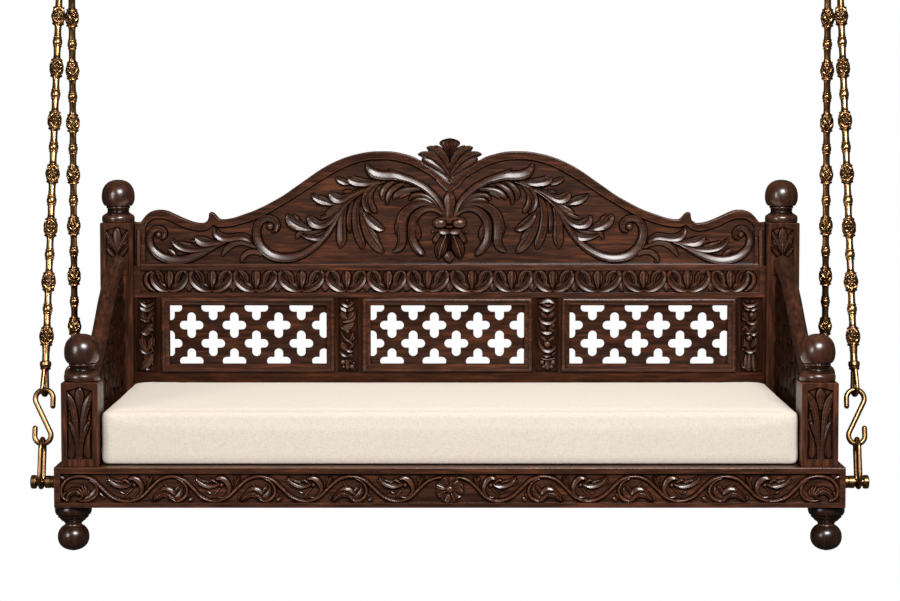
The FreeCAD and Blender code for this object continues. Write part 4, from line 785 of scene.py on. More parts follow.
spray = [
    ([(380, 180.8, 2.5), (373, 181.8, 4.5), (367, 182.6, 7.5), (360, 182.2, 9), (354, 181, 9.5), (350, 179.2, 6.5), (348.4, 177, 1.2)], "cup!", 12.5),
    ([(349, 183, 4), (345, 182.3, 6), (341, 180.6, 6), (337.5, 178.6, 3.5), (336.4, 177, 1.0)], "cup!", 10.5),
    ([(368, 187, 2), (361, 190, 3.5), (353, 193.6, 5), (346, 197.4, 7), (340, 199.4, 9), (335, 197.8, 10.5), (331.5, 194.5, 6.5), (330.4, 192, 1.2)], "cup!", 12.5),
    ([(352, 191.6, 2), (347, 191.4, 3.5), (342.8, 192.4, 1.4)], "leaf", 9.0),
    ([(336, 203.6, 2), (332, 203.4, 4), (327, 201.8, 7.5), (321, 200, 9), (316, 197.8, 6), (312.5, 195, 3), (311.2, 193.8, 1.0)], "cup!", 11.5),
    ([(341, 204.4, 3), (335, 207.6, 5), (330, 210.8, 5), (326, 213.6, 3)], "leaf", 9.0),
    ([(346, 202.5, 3), (338, 209, 4), (330, 214.6, 4.2), (321, 218, 3)], "leaf", 8.0),
    ([(348, 202, 3), (342, 207, 4), (337, 212.8, 5), (331, 219.8, 6), (325, 224, 7.5), (318.5, 224.8, 9), (313, 222.4, 10.5), (310, 218.5, 6.5), (309, 215.2, 1.2)], "cup!", 12.5),
    ([(312, 229.4, 2.5), (308.5, 228.6, 4.5), (303, 227.2, 8), (297, 225, 11), (291.5, 221.4, 10.5), (288.6, 216.5, 5.5), (288.6, 213.8, 1.4)], "cup!", 12.5),
    ([(300, 222.4, 2.0), (296.6, 218.4, 4.4), (294.2, 215.6, 2.4), (293.6, 214.4, 1.0)], "leaf", 11.5),
    ([(332, 225.6, 3), (328, 230.6, 5), (323.5, 235.2, 7.5), (318, 237.4, 8), (312, 237.2, 6), (306, 236, 4.5), (301, 234, 2.5)], "cup!", 12.0),
    ([(323, 229.6, 2), (312, 232.4, 3.4), (300, 231.4, 1.6)], "leaf", 7.5),
    ([(301.5, 231.5, 3), (298.4, 234.4, 4), (296.5, 239, 1.4)], "leaf", 8.5),
    ([(345.5, 205, 3.5), (343, 213, 6), (341.6, 222, 8), (341.4, 232, 9.5), (341.4, 239, 9.6), (340.8, 244.4, 6), (340, 248.2, 1)], "blade", 12.5),
    ([(352.5, 201.5, 2.6), (350, 211, 4), (348.8, 221, 4.4), (349.2, 228, 3.6), (350.3, 233, 1)], "leaf", 9.5),
    ([(359.6, 198, 3), (356.4, 206, 6), (355.4, 216, 7), (356.4, 227, 7.5), (359, 237, 8), (361.8, 244.4, 6.5), (362.4, 249.2, 1.5)], "blade", 12.5),
    ([(366, 224, 2), (371.6, 231, 4), (376, 236.6, 4), (378.6, 241, 1.4)], "leaf", 9.0),
    ([(360.6, 207, 3), (362.6, 217, 5.5), (366, 228, 8.5), (370.4, 237, 10), (375.6, 244.4, 9.5), (380, 249.6, 6.5), (383.6, 253, 1.5)], "blade", 12.5),
    ([(364.6, 211.6, 3), (367.4, 217.4, 7), (371.8, 222.4, 9.5), (377, 226.4, 8.5), (381.4, 228.6, 6), (385, 229, 1.5)], "cup", 11.5),
    ([(380, 182.4, 2.5), (372, 187, 5), (366.6, 194, 6.5), (364.8, 202, 6), (367, 208.6, 5.6), (371.4, 212.8, 1.5)], "cup", 12.0),
    ([(378, 185, 2), (372.4, 190.4, 3.5), (370.4, 197.6, 4.4), (371.4, 204.6, 5), (374.2, 209.6, 5), (376.2, 213, 1.6)], "leaf", 11.0),
    # the great frond and its lobes
    ([(444.8, 216.6, 4), (443, 210, 5), (439.6, 203, 6), (433, 195, 6.6), (426, 188.8, 6.8), (418, 183.8, 6.8), (410, 180, 6.8), (402, 177.8, 8), (394, 175.8, 9.2), (386, 175.8, 9.4), (378, 175, 9.6),
      (371.8, 172.4, 9), (368.4, 168.6, 6), (367.2, 163.6, 2.5)], "scroll!", 15.0),
    ([(398.0, 174.6, 2.4), (393.0, 172.4, 3.8), (389.6, 170.2, 2.0), (388.4, 168.8, 1.0)], "leaf", 13.0),
    ([(394, 182, 2.5), (387.6, 185.4, 5), (383.4, 190.4, 5.6), (382.2, 195, 5), (383.6, 199.2, 2.5)], "leaf", 11.5, {"ridge": 0.3}),
    ([(404, 184, 2.5), (396, 187, 5), (390.4, 191.8, 5.4), (387.8, 197.6, 4.4), (387.4, 204.6, 1.8)], "leaf", 11.5, {"ridge": 0.3}),
    ([(420, 189.4, 3), (409, 189.6, 5), (401, 191.6, 5.5), (396, 195.4, 5), (393.6, 199.4, 2)], "leaf", 11.5, {"ridge": 0.3}),
    ([(410, 192.6, 3), (404, 194.4, 4.5), (399.4, 197.4, 2.4)], "leaf", 10.0),
    ([(440, 209, 3), (434, 201.8, 4.4), (427, 196.6, 4.6), (419, 194.6, 4), (412.6, 196, 4), (409.4, 200, 2)], "leaf", 11.5, {"ridge": 0.3}),
    ([(437, 207.6, 2.6), (430, 202.4, 4.6), (422, 199.6, 5), (415, 200.4, 4), (411.8, 203, 1.6)], "leaf", 11.0, {"ridge": 0.2}),
    ([(442, 213, 3.5), (436, 207, 4.5), (427, 203.8, 5), (418, 204.8, 6), (409.6, 209, 8), (403.6, 215.4, 10), (401.6, 224, 10.6), (402, 233, 9.4), (402.4, 241, 8.4), (399.6, 247.6, 7), (393, 251.8, 2)], "scroll", 14.0),
    ([(401.6, 217, 3), (398, 224, 5), (396.8, 230, 3.6), (396.4, 233.4, 1.2)], "leaf", 14.5),
    ([(442.6, 215, 3.4), (436, 209.6, 5), (428.6, 208.6, 5.6), (420.6, 211.4, 7), (415, 217, 8), (412.4, 225, 8.4), (412, 234, 8), (413.6, 242, 8.4), (417.6, 248.6, 7.6), (421.6, 252.6, 6), (424.8, 254.8, 2)], "scroll", 15.0),
    ([(415.6, 224, 2), (417.6, 230, 5), (418.4, 235.6, 4.8), (418, 240.6, 1.4)], "leaf", 13.5),
    # mitred wedge where the two rims meet
    ([(435.6, 178.0, 1.6), (440.6, 182.0, 5.4), (445.4, 186.4, 5.8), (449.6, 191.6, 2.0)], "ledge", 8.6, {"skirt": 1.2}),
]
carve(C, spray)
both_sides("crest_carving", C, WOOD_CARVED)

# centre: spear leaf, vase with fruit
M = Relief(635.0)
M.px([(449.4, 216.6, 7.6), (449.4, 211.6, 8.4), (449.4, 206.4, 10.2), (449.4, 201.0, 12.2), (449.4, 197.6, 11.0), (449.4, 193.6, 6.4), (449.4, 190.0, 3.0), (449.4, 187.0, 1.0)], h=15.5, prof="leaf")
M.px([(449.4, 216.2, 3.0), (449.4, 205.0, 3.0), (449.4, 196.0, 2.0), (449.4, 190.4, 0.8)], h=17.0, prof="round", skirt=0.5)
for s in (-1, 1):
    M.domepx(449.6 + s * 9.6, 223.0, 7.4, 17.0, r2=5.6, skirt=1.4)
    M.px([(449.6 + s * 0.8, 231.2, 4.0), (449.6 + s * 4.6, 231.6, 6.0), (449.6 + s * 8.4, 231.0, 5.4), (449.6 + s * 10.6, 229.2, 1.6)], h=17.5, prof="ledge", flip=s < 0)
    M.px([(449.6 + s * 9.8, 231.6, 3.0), (449.6 + s * 12.0, 236.0, 4.6), (449.6 + s * 14.4, 240.0, 4.6), (449.6 + s * 16.2, 242.6, 1.4)], h=12.0, prof="leaf")
    M.px([(449.6 + s * 3.0, 234.0, 4.0), (449.6 + s * 5.6, 240.4, 9.0), (449.6 + s * 8.2, 247.2, 12.0), (449.6 + s * 10.0, 253.2, 9.0), (449.6 + s * 11.0, 259.0, 2.0)], h=15.0, prof="vein")
    M.domepx(449.6 + s * 16.6, 231.5, 1.7, 10.0, skirt=1.0)
M.px([(439.8, 217.6, 1.8), (443, 217.8, 3.2), (449.6, 218.0, 3.6), (456, 217.8, 3.2), (459.4, 217.6, 1.8)], h=18.5, prof="ledge", free=True)
M.px([(449.4, 219.0, 8.4), (449.4, 221.6, 5.4), (449.4, 224.8, 1.4)], h=18.0, prof="leaf", free=True, skirt=1.0)
M.px([(446.4, 226.2, 1.4), (449.4, 226.4, 2.4), (452.4, 226.2, 1.4)], h=18.5, prof="ledge", free=True, skirt=0.8)
M.px([(449.4, 233.4, 3.8), (449.4, 242.0, 3.4), (449.4, 250.4, 2.4)], h=17.0, prof="bud")
M.px([(449.0, 249.8, 2.0), (449.0, 253.0, 7.0), (449.0, 256.2, 11.4), (449.0, 259.4, 7.0), (449.0, 263.2, 1.4)], h=16.5, prof="leaf")
v, a, f = M.arrays()
build("crest_centre_carving", v, f, WOOD_CARVED, "swing", a, 55)

# palmette above the rim: free-standing lobes with closed backs
P = Relief(641.0)


def lobe(rows, h, prof="vein", low=0.0, **k):
    P.px(rows, h=h, prof=prof, skirt=0.0, lift=0.0, deep=12.0, low=low, **k)


for s in (-1, 1):
    lobe([(449.8, 183.4, 2.6), (449.8 + s * 6.0, 178.4, 6.0), (449.8 + s * 13.0, 173.2, 7.4), (449.8 + s * 21.0, 167.6, 7.0), (449.8 + s * 28.0, 162.6, 4.0), (449.8 + s * 31.0, 160.4, 1.4)], 7, prof="leaf")
    lobe([(449.8 + s * 0.6, 177.8, 1.6), (449.8 + s * 7.0, 171.6, 4.4), (449.8 + s * 14.4, 166.0, 6.4), (449.8 + s * 21.6, 161.6, 7.4), (449.8 + s * 26.0, 159.6, 5.0), (449.8 + s * 28.2, 158.8, 1.6)], 12, prof="leaf", ridge=-0.1 * s)
    lobe([(449.8 + s * 0.4, 176.8, 1.6), (449.8 + s * 5.6, 169.0, 5.6), (449.8 + s * 11.4, 162.4, 8.0), (449.8 + s * 18.2, 157.4, 9.6), (449.8 + s * 25.0, 154.8, 7.4), (449.8 + s * 29.6, 154.3, 4.4), (449.8 + s * 32.0, 154.4, 1.2)], 15, prof="cup", flip=s > 0)
    lobe([(449.8 + s * 4.0, 164.6, 2.0), (449.8 + s * 9.4, 156.8, 5.4), (449.8 + s * 15.4, 150.8, 7.4), (449.8 + s * 20.0, 148.6, 6.6), (449.8 + s * 23.2, 147.4, 1.4)], 16, prof="cup", flip=s > 0)
    lobe([(449.8 + s * 0.6, 174.6, 1.6), (449.8 + s * 1.8, 166.4, 4.0), (449.8 + s * 4.6, 158.4, 6.6), (449.8 + s * 8.8, 151.6, 7.4), (449.8 + s * 13.2, 147.4, 4.6), (449.8 + s * 15.4, 145.6, 1.4)], 19, prof="leaf", ridge=-0.1 * s)
lobe([(449.8, 185.6, 2.0), (449.8, 182.6, 4.8), (449.8, 179.2, 5.8), (449.8, 175.4, 4.2), (449.8, 171.4, 1.6)], 5, prof="leaf")
lobe([(449.8, 163.6, 1.6), (449.8, 157.0, 4.4), (449.8, 151.6, 9.4), (449.8, 147.2, 15.8), (449.8, 143.6, 21.2), (449.8, 141.0, 18.6), (449.8, 139.2, 11.6), (449.8, 138.2, 3.0)], 20, prof="fan")
v, a, f = P.arrays()
o = build("crest_palmette_carved", v, f, WOOD_CARVED, "swing", a, 60)
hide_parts("crest_palmette")

# ------------------------------------------------------------------ frieze of swags, buds and drops
FR = Relief(631.0)
DROPS = [188.8, 233.0, 277.8, 325.2, 366.7, 406.6, 449.5]
BUDS = [169.3, 212.1, 256.1, 301.7, 346.7, 387.9, 427.4]
starts = [150.6] + DROPS[:-1]


def arm_of(d, b, s):
    """One side of a swag, from its top beside a drop to the foot of its bud; s is +1 for the left side."""
    w = abs(b - d)
    FR.px([(d + s * 0.20 * w, 272.0, 3.0), (d + s * 0.13 * w, 276.4, 5.0), (d + s * 0.20 * w, 281.4, 6.6), (d + s * 0.40 * w, 286.0, 7.2), (d + s * 0.66 * w, 289.2, 5.6), (d + s * 0.88 * w, 290.2, 3.6), (b + s * 0.3, 289.4, 1.6)],
          h=12.0, prof="cup" if s > 0 else "cup", flip=s < 0, free=True)
    FR.px([(d + s * 0.24 * w, 271.6, 2.2), (d + s * 0.42 * w, 272.6, 4.2), (d + s * 0.55 * w, 276.2, 5.4), (d + s * 0.60 * w, 280.6, 4.2), (d + s * 0.66 * w, 284.6, 1.4)], h=9.5, prof="cup", flip=s > 0, free=True)
    FR.px([(d + s * 0.52 * w, 282.6, 1.6), (d + s * 0.70 * w, 284.8, 3.4), (d + s * 0.86 * w, 287.4, 1.4)], h=8.0, prof="leaf", skirt=1.2)
    FR.domepx(d + s * 0.54 * w, 281.2, 1.1, 9.5, skirt=0.8)


for i, b in enumerate(BUDS):
    arm_of(starts[i], b, 1)
    arm_of(DROPS[i], b, -1)
    FR.px([(b, 288.8, 1.2), (b, 284.6, 4.8), (b, 279.2, 8.2), (b, 275.0, 8.6), (b, 272.2, 6.2), (b, 270.6, 1.6)], h=9.5, prof="cup")
    FR.px([(b, 287.4, 1.0), (b, 283.4, 3.2), (b, 278.6, 4.6), (b, 274.6, 4.4), (b, 272.2, 2.6), (b, 270.8, 1.0)], h=13.0, prof="round", skirt=0.8)


def drop(rel, d):
    for s in (-1, 1):
        rel.px([(d + s * 4.4, 271.0, 1.6), (d + s * 2.6, 272.4, 2.8), (d + s * 0.4, 275.2, 1.4)], h=11.0, prof="round", free=True, skirt=1.2)
        rel.domepx(d + s * 2.7, 287.4, 1.2, 6.5, skirt=1.0)
    rel.px([(d, 279.6, 1.2), (d, 283.2, 3.8), (d, 286.6, 6.2), (d, 289.0, 4.2), (d, 291.8, 1.0)], h=9.5, prof="leaf")


for d in DROPS[:-1]:
    drop(FR, d)
# doubled leaf at the end
FR.px([(152.4, 271.8, 2.4), (147.2, 274.6, 4.4), (145.8, 280.6, 4.8), (149.0, 286.8, 4.8), (155.2, 291.0, 1.8)], h=9.5, prof="round", free=True)
both_sides("frieze_carving", FR, WOOD_CARVED)
FC = Relief(631.0)
drop(FC, 449.6)
v, a, f = FC.arrays()
build("frieze_centre_drop", v, f, WOOD_CARVED, "swing", a, 55)

# ------------------------------------------------------------------ husk columns on the stiles, each with its own pattern
def husk_column(name, items):
    H = Relief(632.0)
    for it in items:
        kind, q = it[0], it[1]
        if kind == "b":
            H.px(q, h=10.5, prof="ledge", free=True, skirt=1.6)
        elif kind == "s":
            H.px(q, h=8.5, prof="round", free=True, skirt=1.3)
        elif kind == "d":
            H.domepx(q[0], q[1], q[2], 9.5, skirt=1.2)
        elif kind == "v":
            H.leafpx(q[0], q[1], q[2], bend=it[2] if len(it) > 2 else 0.0, shape="lobe", h=8.0, prof="vein", skirt=1.6)
        elif kind == "l":
            H.px(q, h=8.5, prof="leaf", skirt=1.6)
    v, a, f = H.arrays()
    build(name, v, f, WOOD_CARVED, "swing", a, 55)


husk_column("left_end_husks", [
    ("v", ((147.2, 303.6), (149.2, 299.4), 3.6)), ("v", ((146.0, 303.4), (143.0, 300.4), 3.0)),
    ("b", [(140.8, 301.6, 1.6), (143.6, 304.2, 3.2), (147, 306.0, 3.6), (150.8, 304.8, 3.2), (154.2, 302.4, 1.4)]),
    ("v", ((146.6, 318.6), (142.4, 310.6), 6.4), 0.12), ("v", ((147.6, 318.6), (152.6, 310.6), 6.4), -0.12),
    ("b", [(140.0, 306, 1.4), (143, 308.6, 4.0), (147, 310, 4.4), (151, 308.8, 3.2), (154.4, 305.8, 1.2)]),
    ("s", [(140.8, 317.6, 1.4), (142.2, 320.2, 2.4), (143.8, 320.4, 1.2)]), ("s", [(153.8, 315.2, 1.2), (152.6, 318.4, 1.8), (153.4, 322.4, 1.2)]),
    ("v", ((143.6, 330.4), (152.8, 322.6), 6.4), -0.16), ("l", [(144.0, 332.0, 2.0), (149.0, 329.6, 4.6), (153.8, 330.6, 1.4)]),
    ("b", [(143.4, 319.2, 1.4), (146.8, 320.8, 3.0), (150.4, 319.0, 1.4)]),
    ("s", [(151.4, 327.0, 1.2), (152.8, 329.0, 1.8), (153.8, 330.8, 1.0)]),
    ("v", ((146.6, 349.6), (142.6, 336.6), 7.0), 0.12), ("v", ((147.8, 349.6), (152.0, 336.6), 6.6), -0.12),
    ("b", [(141.8, 331.8, 1.4), (144.6, 333.2, 3.4), (147.2, 333.8, 3.4), (150.2, 332.2, 1.4)]),
    ("d", (142.4, 335.8, 1.3)), ("s", [(151.6, 334.2, 1.2), (152.9, 336.6, 1.6), (152.8, 338.8, 1.0)]),
    ("s", [(151.4, 347.2, 1.2), (153.0, 349.2, 1.8), (153.8, 350.6, 1.0)]),
    ("l", [(152.4, 354.0, 3.0), (149.6, 359.4, 8.6), (145.6, 364.8, 8.0), (142.4, 368.4, 3.6), (141.0, 370.0, 1.2)]),
    ("v", ((148.4, 354.6), (142.6, 356.8), 4.6), 0.1), ("s", [(151.2, 361.8, 1.2), (152.8, 363.8, 2.0), (153.9, 365.6, 1.0)]),
    ("b", [(141.2, 349.2, 1.4), (144.0, 351.6, 2.8), (147, 352.8, 3.2), (150.6, 352.0, 2.6), (153.8, 350.2, 1.4)]), ("d", (146.6, 351.2, 1.2)),
    ("b", [(146.6, 367.2, 1.4), (148.4, 368.6, 3.0), (150.4, 369.2, 1.4)]), ("s", [(141.4, 369.8, 1.0), (143.2, 368.8, 1.8), (145.4, 367.4, 1.0)]),
])
husk_column("left_mid_husks", [
    ("d", (347.0, 300.2, 1.5)), ("v", ((345.6, 304.8), (342.0, 301.2), 3.0)), ("v", ((349.6, 304.8), (352.8, 300.8), 3.4)),
    ("b", [(341.0, 303.0, 1.4), (344.6, 304.6, 3.4), (347.6, 306.0, 3.6), (350.6, 304.6, 3.2), (354.0, 302, 1.4)]),
    ("v", ((347.0, 318.4), (341.4, 310.8), 6.8), 0.10), ("v", ((348.0, 318.6), (354.2, 310.6), 7.0), -0.12),
    ("b", [(340.4, 306.2, 1.4), (343.2, 308.6, 4.0), (346.4, 309.8, 3.6), (347.4, 309.9, 1.4)]), ("b", [(347.6, 309.9, 1.4), (349.2, 309.8, 3.4), (352.0, 308.2, 3.2), (354.6, 305.4, 1.2)]),
    ("l", [(353.8, 321.4, 2.0), (351.2, 325.0, 5.0), (346.6, 327.2, 6.0), (343.2, 328.2, 4.2), (341.2, 328.0, 1.6)]),
    ("s", [(355.2, 316.4, 1.4), (352.8, 319.6, 3.2), (348.4, 321.2, 4.0), (344.6, 321.8, 2.8), (342.8, 321.2, 1.4)]),
    ("s", [(340.8, 326.2, 1.2), (342.0, 328.2, 2.0), (343.6, 328.6, 1.0)]), ("s", [(351.0, 326.8, 1.2), (352.0, 329.0, 1.0)]),
    ("v", ((349.4, 340.4), (353.4, 331.4), 5.0), -0.1), ("v", ((350.4, 341.0), (354.6, 336.8), 3.2), -0.1),
    ("v", ((347.6, 349.6), (342.0, 341.4), 6.4), 0.16), ("v", ((349.4, 348.4), (353.8, 341.8), 4.4), -0.1),
    ("d", (347.5, 331.0, 2.4)),
    ("s", [(341.8, 331.6, 1.4), (343.4, 336.2, 2.4), (346.4, 339.6, 2.6), (350, 342, 2.8), (352.6, 344.0, 1.6)]), ("s", [(342.2, 341.4, 1.4), (343.6, 343.4, 2.2), (345.0, 344.2, 1.2)]),
    ("b", [(346.2, 349.4, 1.4), (349.6, 350.6, 3.6), (353.0, 350.8, 1.4)]),
    ("b", [(340.2, 351.0, 1.6), (343.0, 354.2, 3.2), (347.4, 355.6, 2.4)]), ("s", [(348.4, 356.4, 1.6), (350.4, 354.6, 2.4), (352.8, 356.0, 1.4)]),
    ("d", (343.0, 361.8, 2.8)), ("d", (352.0, 366.4, 2.9)), ("d", (354.0, 362.6, 1.5)), ("d", (343.6, 366.6, 2.0)),
    ("l", [(347.6, 359.6, 2.0), (347.5, 364.0, 4.4), (347.5, 367.6, 3.6), (347.4, 370.2, 1.2)]),
    ("v", ((348.4, 359.6), (352.6, 363.2), 3.2), 0.1), ("d", (346.4, 360.2, 1.2)),
])
husk_column("right_mid_husks", [
    ("b", [(539.0, 303.2, 1.6), (543.0, 301.4, 4.2), (547.6, 300.2, 5.0), (552.4, 301.6, 4.0), (555.6, 304.2, 1.6)]),
    ("b", [(543.2, 304.4, 1.4), (547.6, 304.9, 2.8), (552.2, 304.8, 1.4)]),
    ("v", ((546.8, 317.4), (541.2, 310.6), 5.6), 0.08), ("v", ((548.0, 317.4), (554.0, 310.4), 5.6), -0.08),
    ("b", [(539.0, 305.6, 1.6), (543, 308.4, 3.8), (547.4, 310.0, 4.2), (551.2, 308.6, 3.4), (554.6, 305.6, 1.6)]),
    ("s", [(541.0, 312.8, 1.2), (543.4, 314.6, 2.0), (546.2, 316.2, 1.2)]), ("s", [(553.2, 314.0, 1.2), (550.6, 314.8, 2.0), (548.6, 316.2, 1.2)]),
    ("v", ((546.4, 329.4), (541.2, 322.6), 5.0), 0.1), ("v", ((548.4, 329.4), (554.0, 322.4), 5.0), -0.1),
    ("b", [(538.8, 317.4, 1.6), (542.6, 321.6, 3.6), (547.4, 323.0, 4.0), (551.6, 322.0, 3.2), (555.8, 318.2, 1.6)]), ("d", (554.8, 318.8, 1.2)),
    ("s", [(548.8, 328.4, 1.2), (552.4, 330.0, 2.0), (555.0, 332.0, 1.0)]),
    ("v", ((546.4, 340.6), (541.0, 334.8), 5.0), 0.1), ("v", ((548.4, 340.6), (553.8, 335.6), 5.0), -0.1),
    ("b", [(540.8, 331.0, 1.4), (544.0, 332.2, 3.4), (547.2, 332.6, 4.4), (550.2, 332.2, 3.2), (552.4, 331.4, 1.2)]), ("d", (546.8, 332.0, 1.0)),
    ("s", [(542.2, 336.6, 1.2), (544.2, 338.4, 2.0), (546.0, 339.8, 1.2)]), ("s", [(553.0, 337.8, 1.2), (550.8, 338.4, 2.2), (548.4, 339.8, 1.2)]),
    ("d", (547.0, 344.0, 3.6)), ("v", ((550.8, 344.6), (555.0, 348.2), 2.6)),
    ("b", [(538.6, 340.6, 1.8), (541.0, 346.2, 3.6), (544.4, 349.8, 4.0), (547.6, 350.8, 4.0), (552.2, 349.4, 3.4), (555.6, 346.0, 1.6)]),
    ("s", [(551.6, 355.4, 1.4), (553.4, 353.6, 2.6), (555.4, 351.8, 1.6)]), ("b", [(542.8, 355.0, 1.6), (546.8, 355.8, 3.0), (550.4, 355.4, 1.6)]),
    ("s", [(540.6, 357.2, 1.4), (544.0, 359.0, 2.8), (547.4, 359.4, 2.8), (551.4, 358.8, 2.8), (554.8, 357.6, 1.4)]),
    ("d", (542.0, 362.0, 2.8)), ("d", (552.8, 362.0, 3.0)), ("d", (543.6, 366.6, 2.4)), ("d", (551.2, 366.4, 2.6)),
    ("l", [(547.2, 361.0, 2.4), (547.2, 365.4, 6.2), (547.2, 368.0, 4.4), (547.2, 370.2, 1.4)]), ("d", (545.9, 360.9, 1.2)), ("d", (548.5, 360.8, 1.2)),
])
husk_column("right_end_husks", [
    ("v", ((750.6, 303.0), (754.4, 299.4), 3.6)), ("v", ((748.4, 303.0), (745.4, 300.2), 3.0)),
    ("b", [(742.4, 302.4, 1.4), (745.4, 305.0, 3.0), (749, 305.8, 3.4), (752.6, 305.2, 3.2), (756.8, 302.4, 1.4)]), ("d", (751.8, 304.9, 1.1)),
    ("v", ((748.6, 319.6), (743.6, 311.2), 6.2), 0.1), ("v", ((750.6, 319.6), (755.4, 311.2), 6.0), -0.1), ("d", (751.6, 314.6, 3.0)),
    ("b", [(743.8, 307.0, 1.6), (747.0, 308.7, 3.6), (749.8, 309.2, 1.6)]), ("b", [(750.0, 309.4, 1.6), (752.6, 309.4, 3.6), (756.2, 307.2, 1.4)]),
    ("b", [(741.9, 316.6, 1.4), (743.2, 318.8, 2.8), (746.0, 319.4, 1.4)]),
    ("v", ((748.6, 330.8), (754.8, 323.4), 6.0), -0.14), ("v", ((750.6, 331.2), (744.8, 324.0), 5.0), 0.14),
    ("b", [(745.6, 320.8, 1.4), (748.8, 322.8, 2.8), (752.4, 323.2, 3.2), (756.8, 320.6, 1.4)]),
    ("s", [(742.0, 330.2, 1.2), (743.8, 328.4, 2.6), (745.8, 326.6, 1.4)]),
    ("d", (749.0, 337.8, 3.2)), ("v", ((750.8, 347.0), (755.6, 336.8), 6.0), -0.12), ("v", ((749.4, 348.4), (743.8, 338.0), 6.2), 0.12),
    ("b", [(745.4, 332.2, 1.6), (747.6, 332.8, 3.2), (749.6, 331.4, 1.6)]), ("b", [(750.0, 332.6, 1.6), (752.6, 334.0, 3.6), (756.8, 331.4, 1.4)]),
    ("s", [(742.4, 335.2, 1.0), (744.2, 334.0, 1.4)]), ("s", [(743.0, 337.4, 1.0), (744.8, 336.2, 1.4)]),
    ("s", [(742.2, 346.6, 1.2), (743.8, 345.2, 2.0), (745.8, 344.2, 1.2)]), ("d", (742.9, 349.2, 1.3)),
    ("l", [(746.4, 354.4, 2.4), (745.8, 361.0, 4.6), (745.8, 366.4, 4.0), (746.4, 369.6, 1.6)]),
    ("l", [(749.8, 354.0, 2.6), (749.4, 361.0, 4.8), (749.0, 366.6, 4.6), (748.8, 370.0, 1.8)]),
    ("l", [(753.0, 354.2, 2.4), (753.6, 361.0, 4.6), (753.8, 366.6, 4.2), (753.6, 370.0, 1.6)]),
    ("b", [(745.4, 350.6, 1.6), (748.2, 351.6, 3.6), (751.6, 351.4, 2.8), (756.0, 349.6, 1.4)]),
    ("b", [(741.8, 363.0, 1.4), (742.8, 366.4, 3.0), (745.2, 365.8, 1.4)]),
    ("b", [(745.8, 368.2, 1.2), (748.0, 369.2, 2.2), (750.4, 368.4, 1.2)]), ("b", [(751.8, 368.8, 1.2), (753.8, 369.8, 2.2), (755.8, 368.6, 1.2)]),
])

# ------------------------------------------------------------------ front rail vine
R = Relief(-4.0)
VINE = [(69.5, 500.4, 2.4), (63.6, 497.6, 3.0), (61.4, 490.3, 3.0), (66.0, 480.6, 3.0), (80.9, 476.0, 3.0), (92.2, 479.0, 3.0), (102.0, 488.0, 3.0), (113.4, 497.6, 3.0), (127.3, 501.0, 3.0),
        (141.4, 497.0, 3.0), (151.6, 487.0, 3.0), (161.0, 478.9, 3.0), (172.4, 476.2, 3.0), (184.0, 479.6, 3.0), (193.4, 488.4, 3.0), (202.0, 497.0, 3.0), (213.6, 500.9, 3.0),
        (227.0, 497.4, 3.0), (238.0, 487.6, 3.0), (248.0, 479.2, 3.0), (260.3, 476.2, 3.0), (272.6, 479.8, 3.0), (282.4, 488.6, 3.0), (292.6, 497.2, 3.0), (305.4, 501.0, 3.0),
        (319.0, 497.0, 3.0), (329.4, 487.2, 3.0), (339.6, 478.9, 3.0), (351.8, 476.2, 3.0), (364.0, 479.6, 3.0), (374.2, 488.6, 3.0), (384.4, 497.2, 3.0), (396.9, 500.9, 3.0),
        (410.4, 497.2, 3.0), (420.4, 487.4, 3.0), (430.4, 479.8, 2.8), (441.0, 477.2, 2.2)]
R.px([(a_, b_, c_ * 1.22) for a_, b_, c_ in VINE], h=9.5, prof="round", skirt=1.6, free=True)


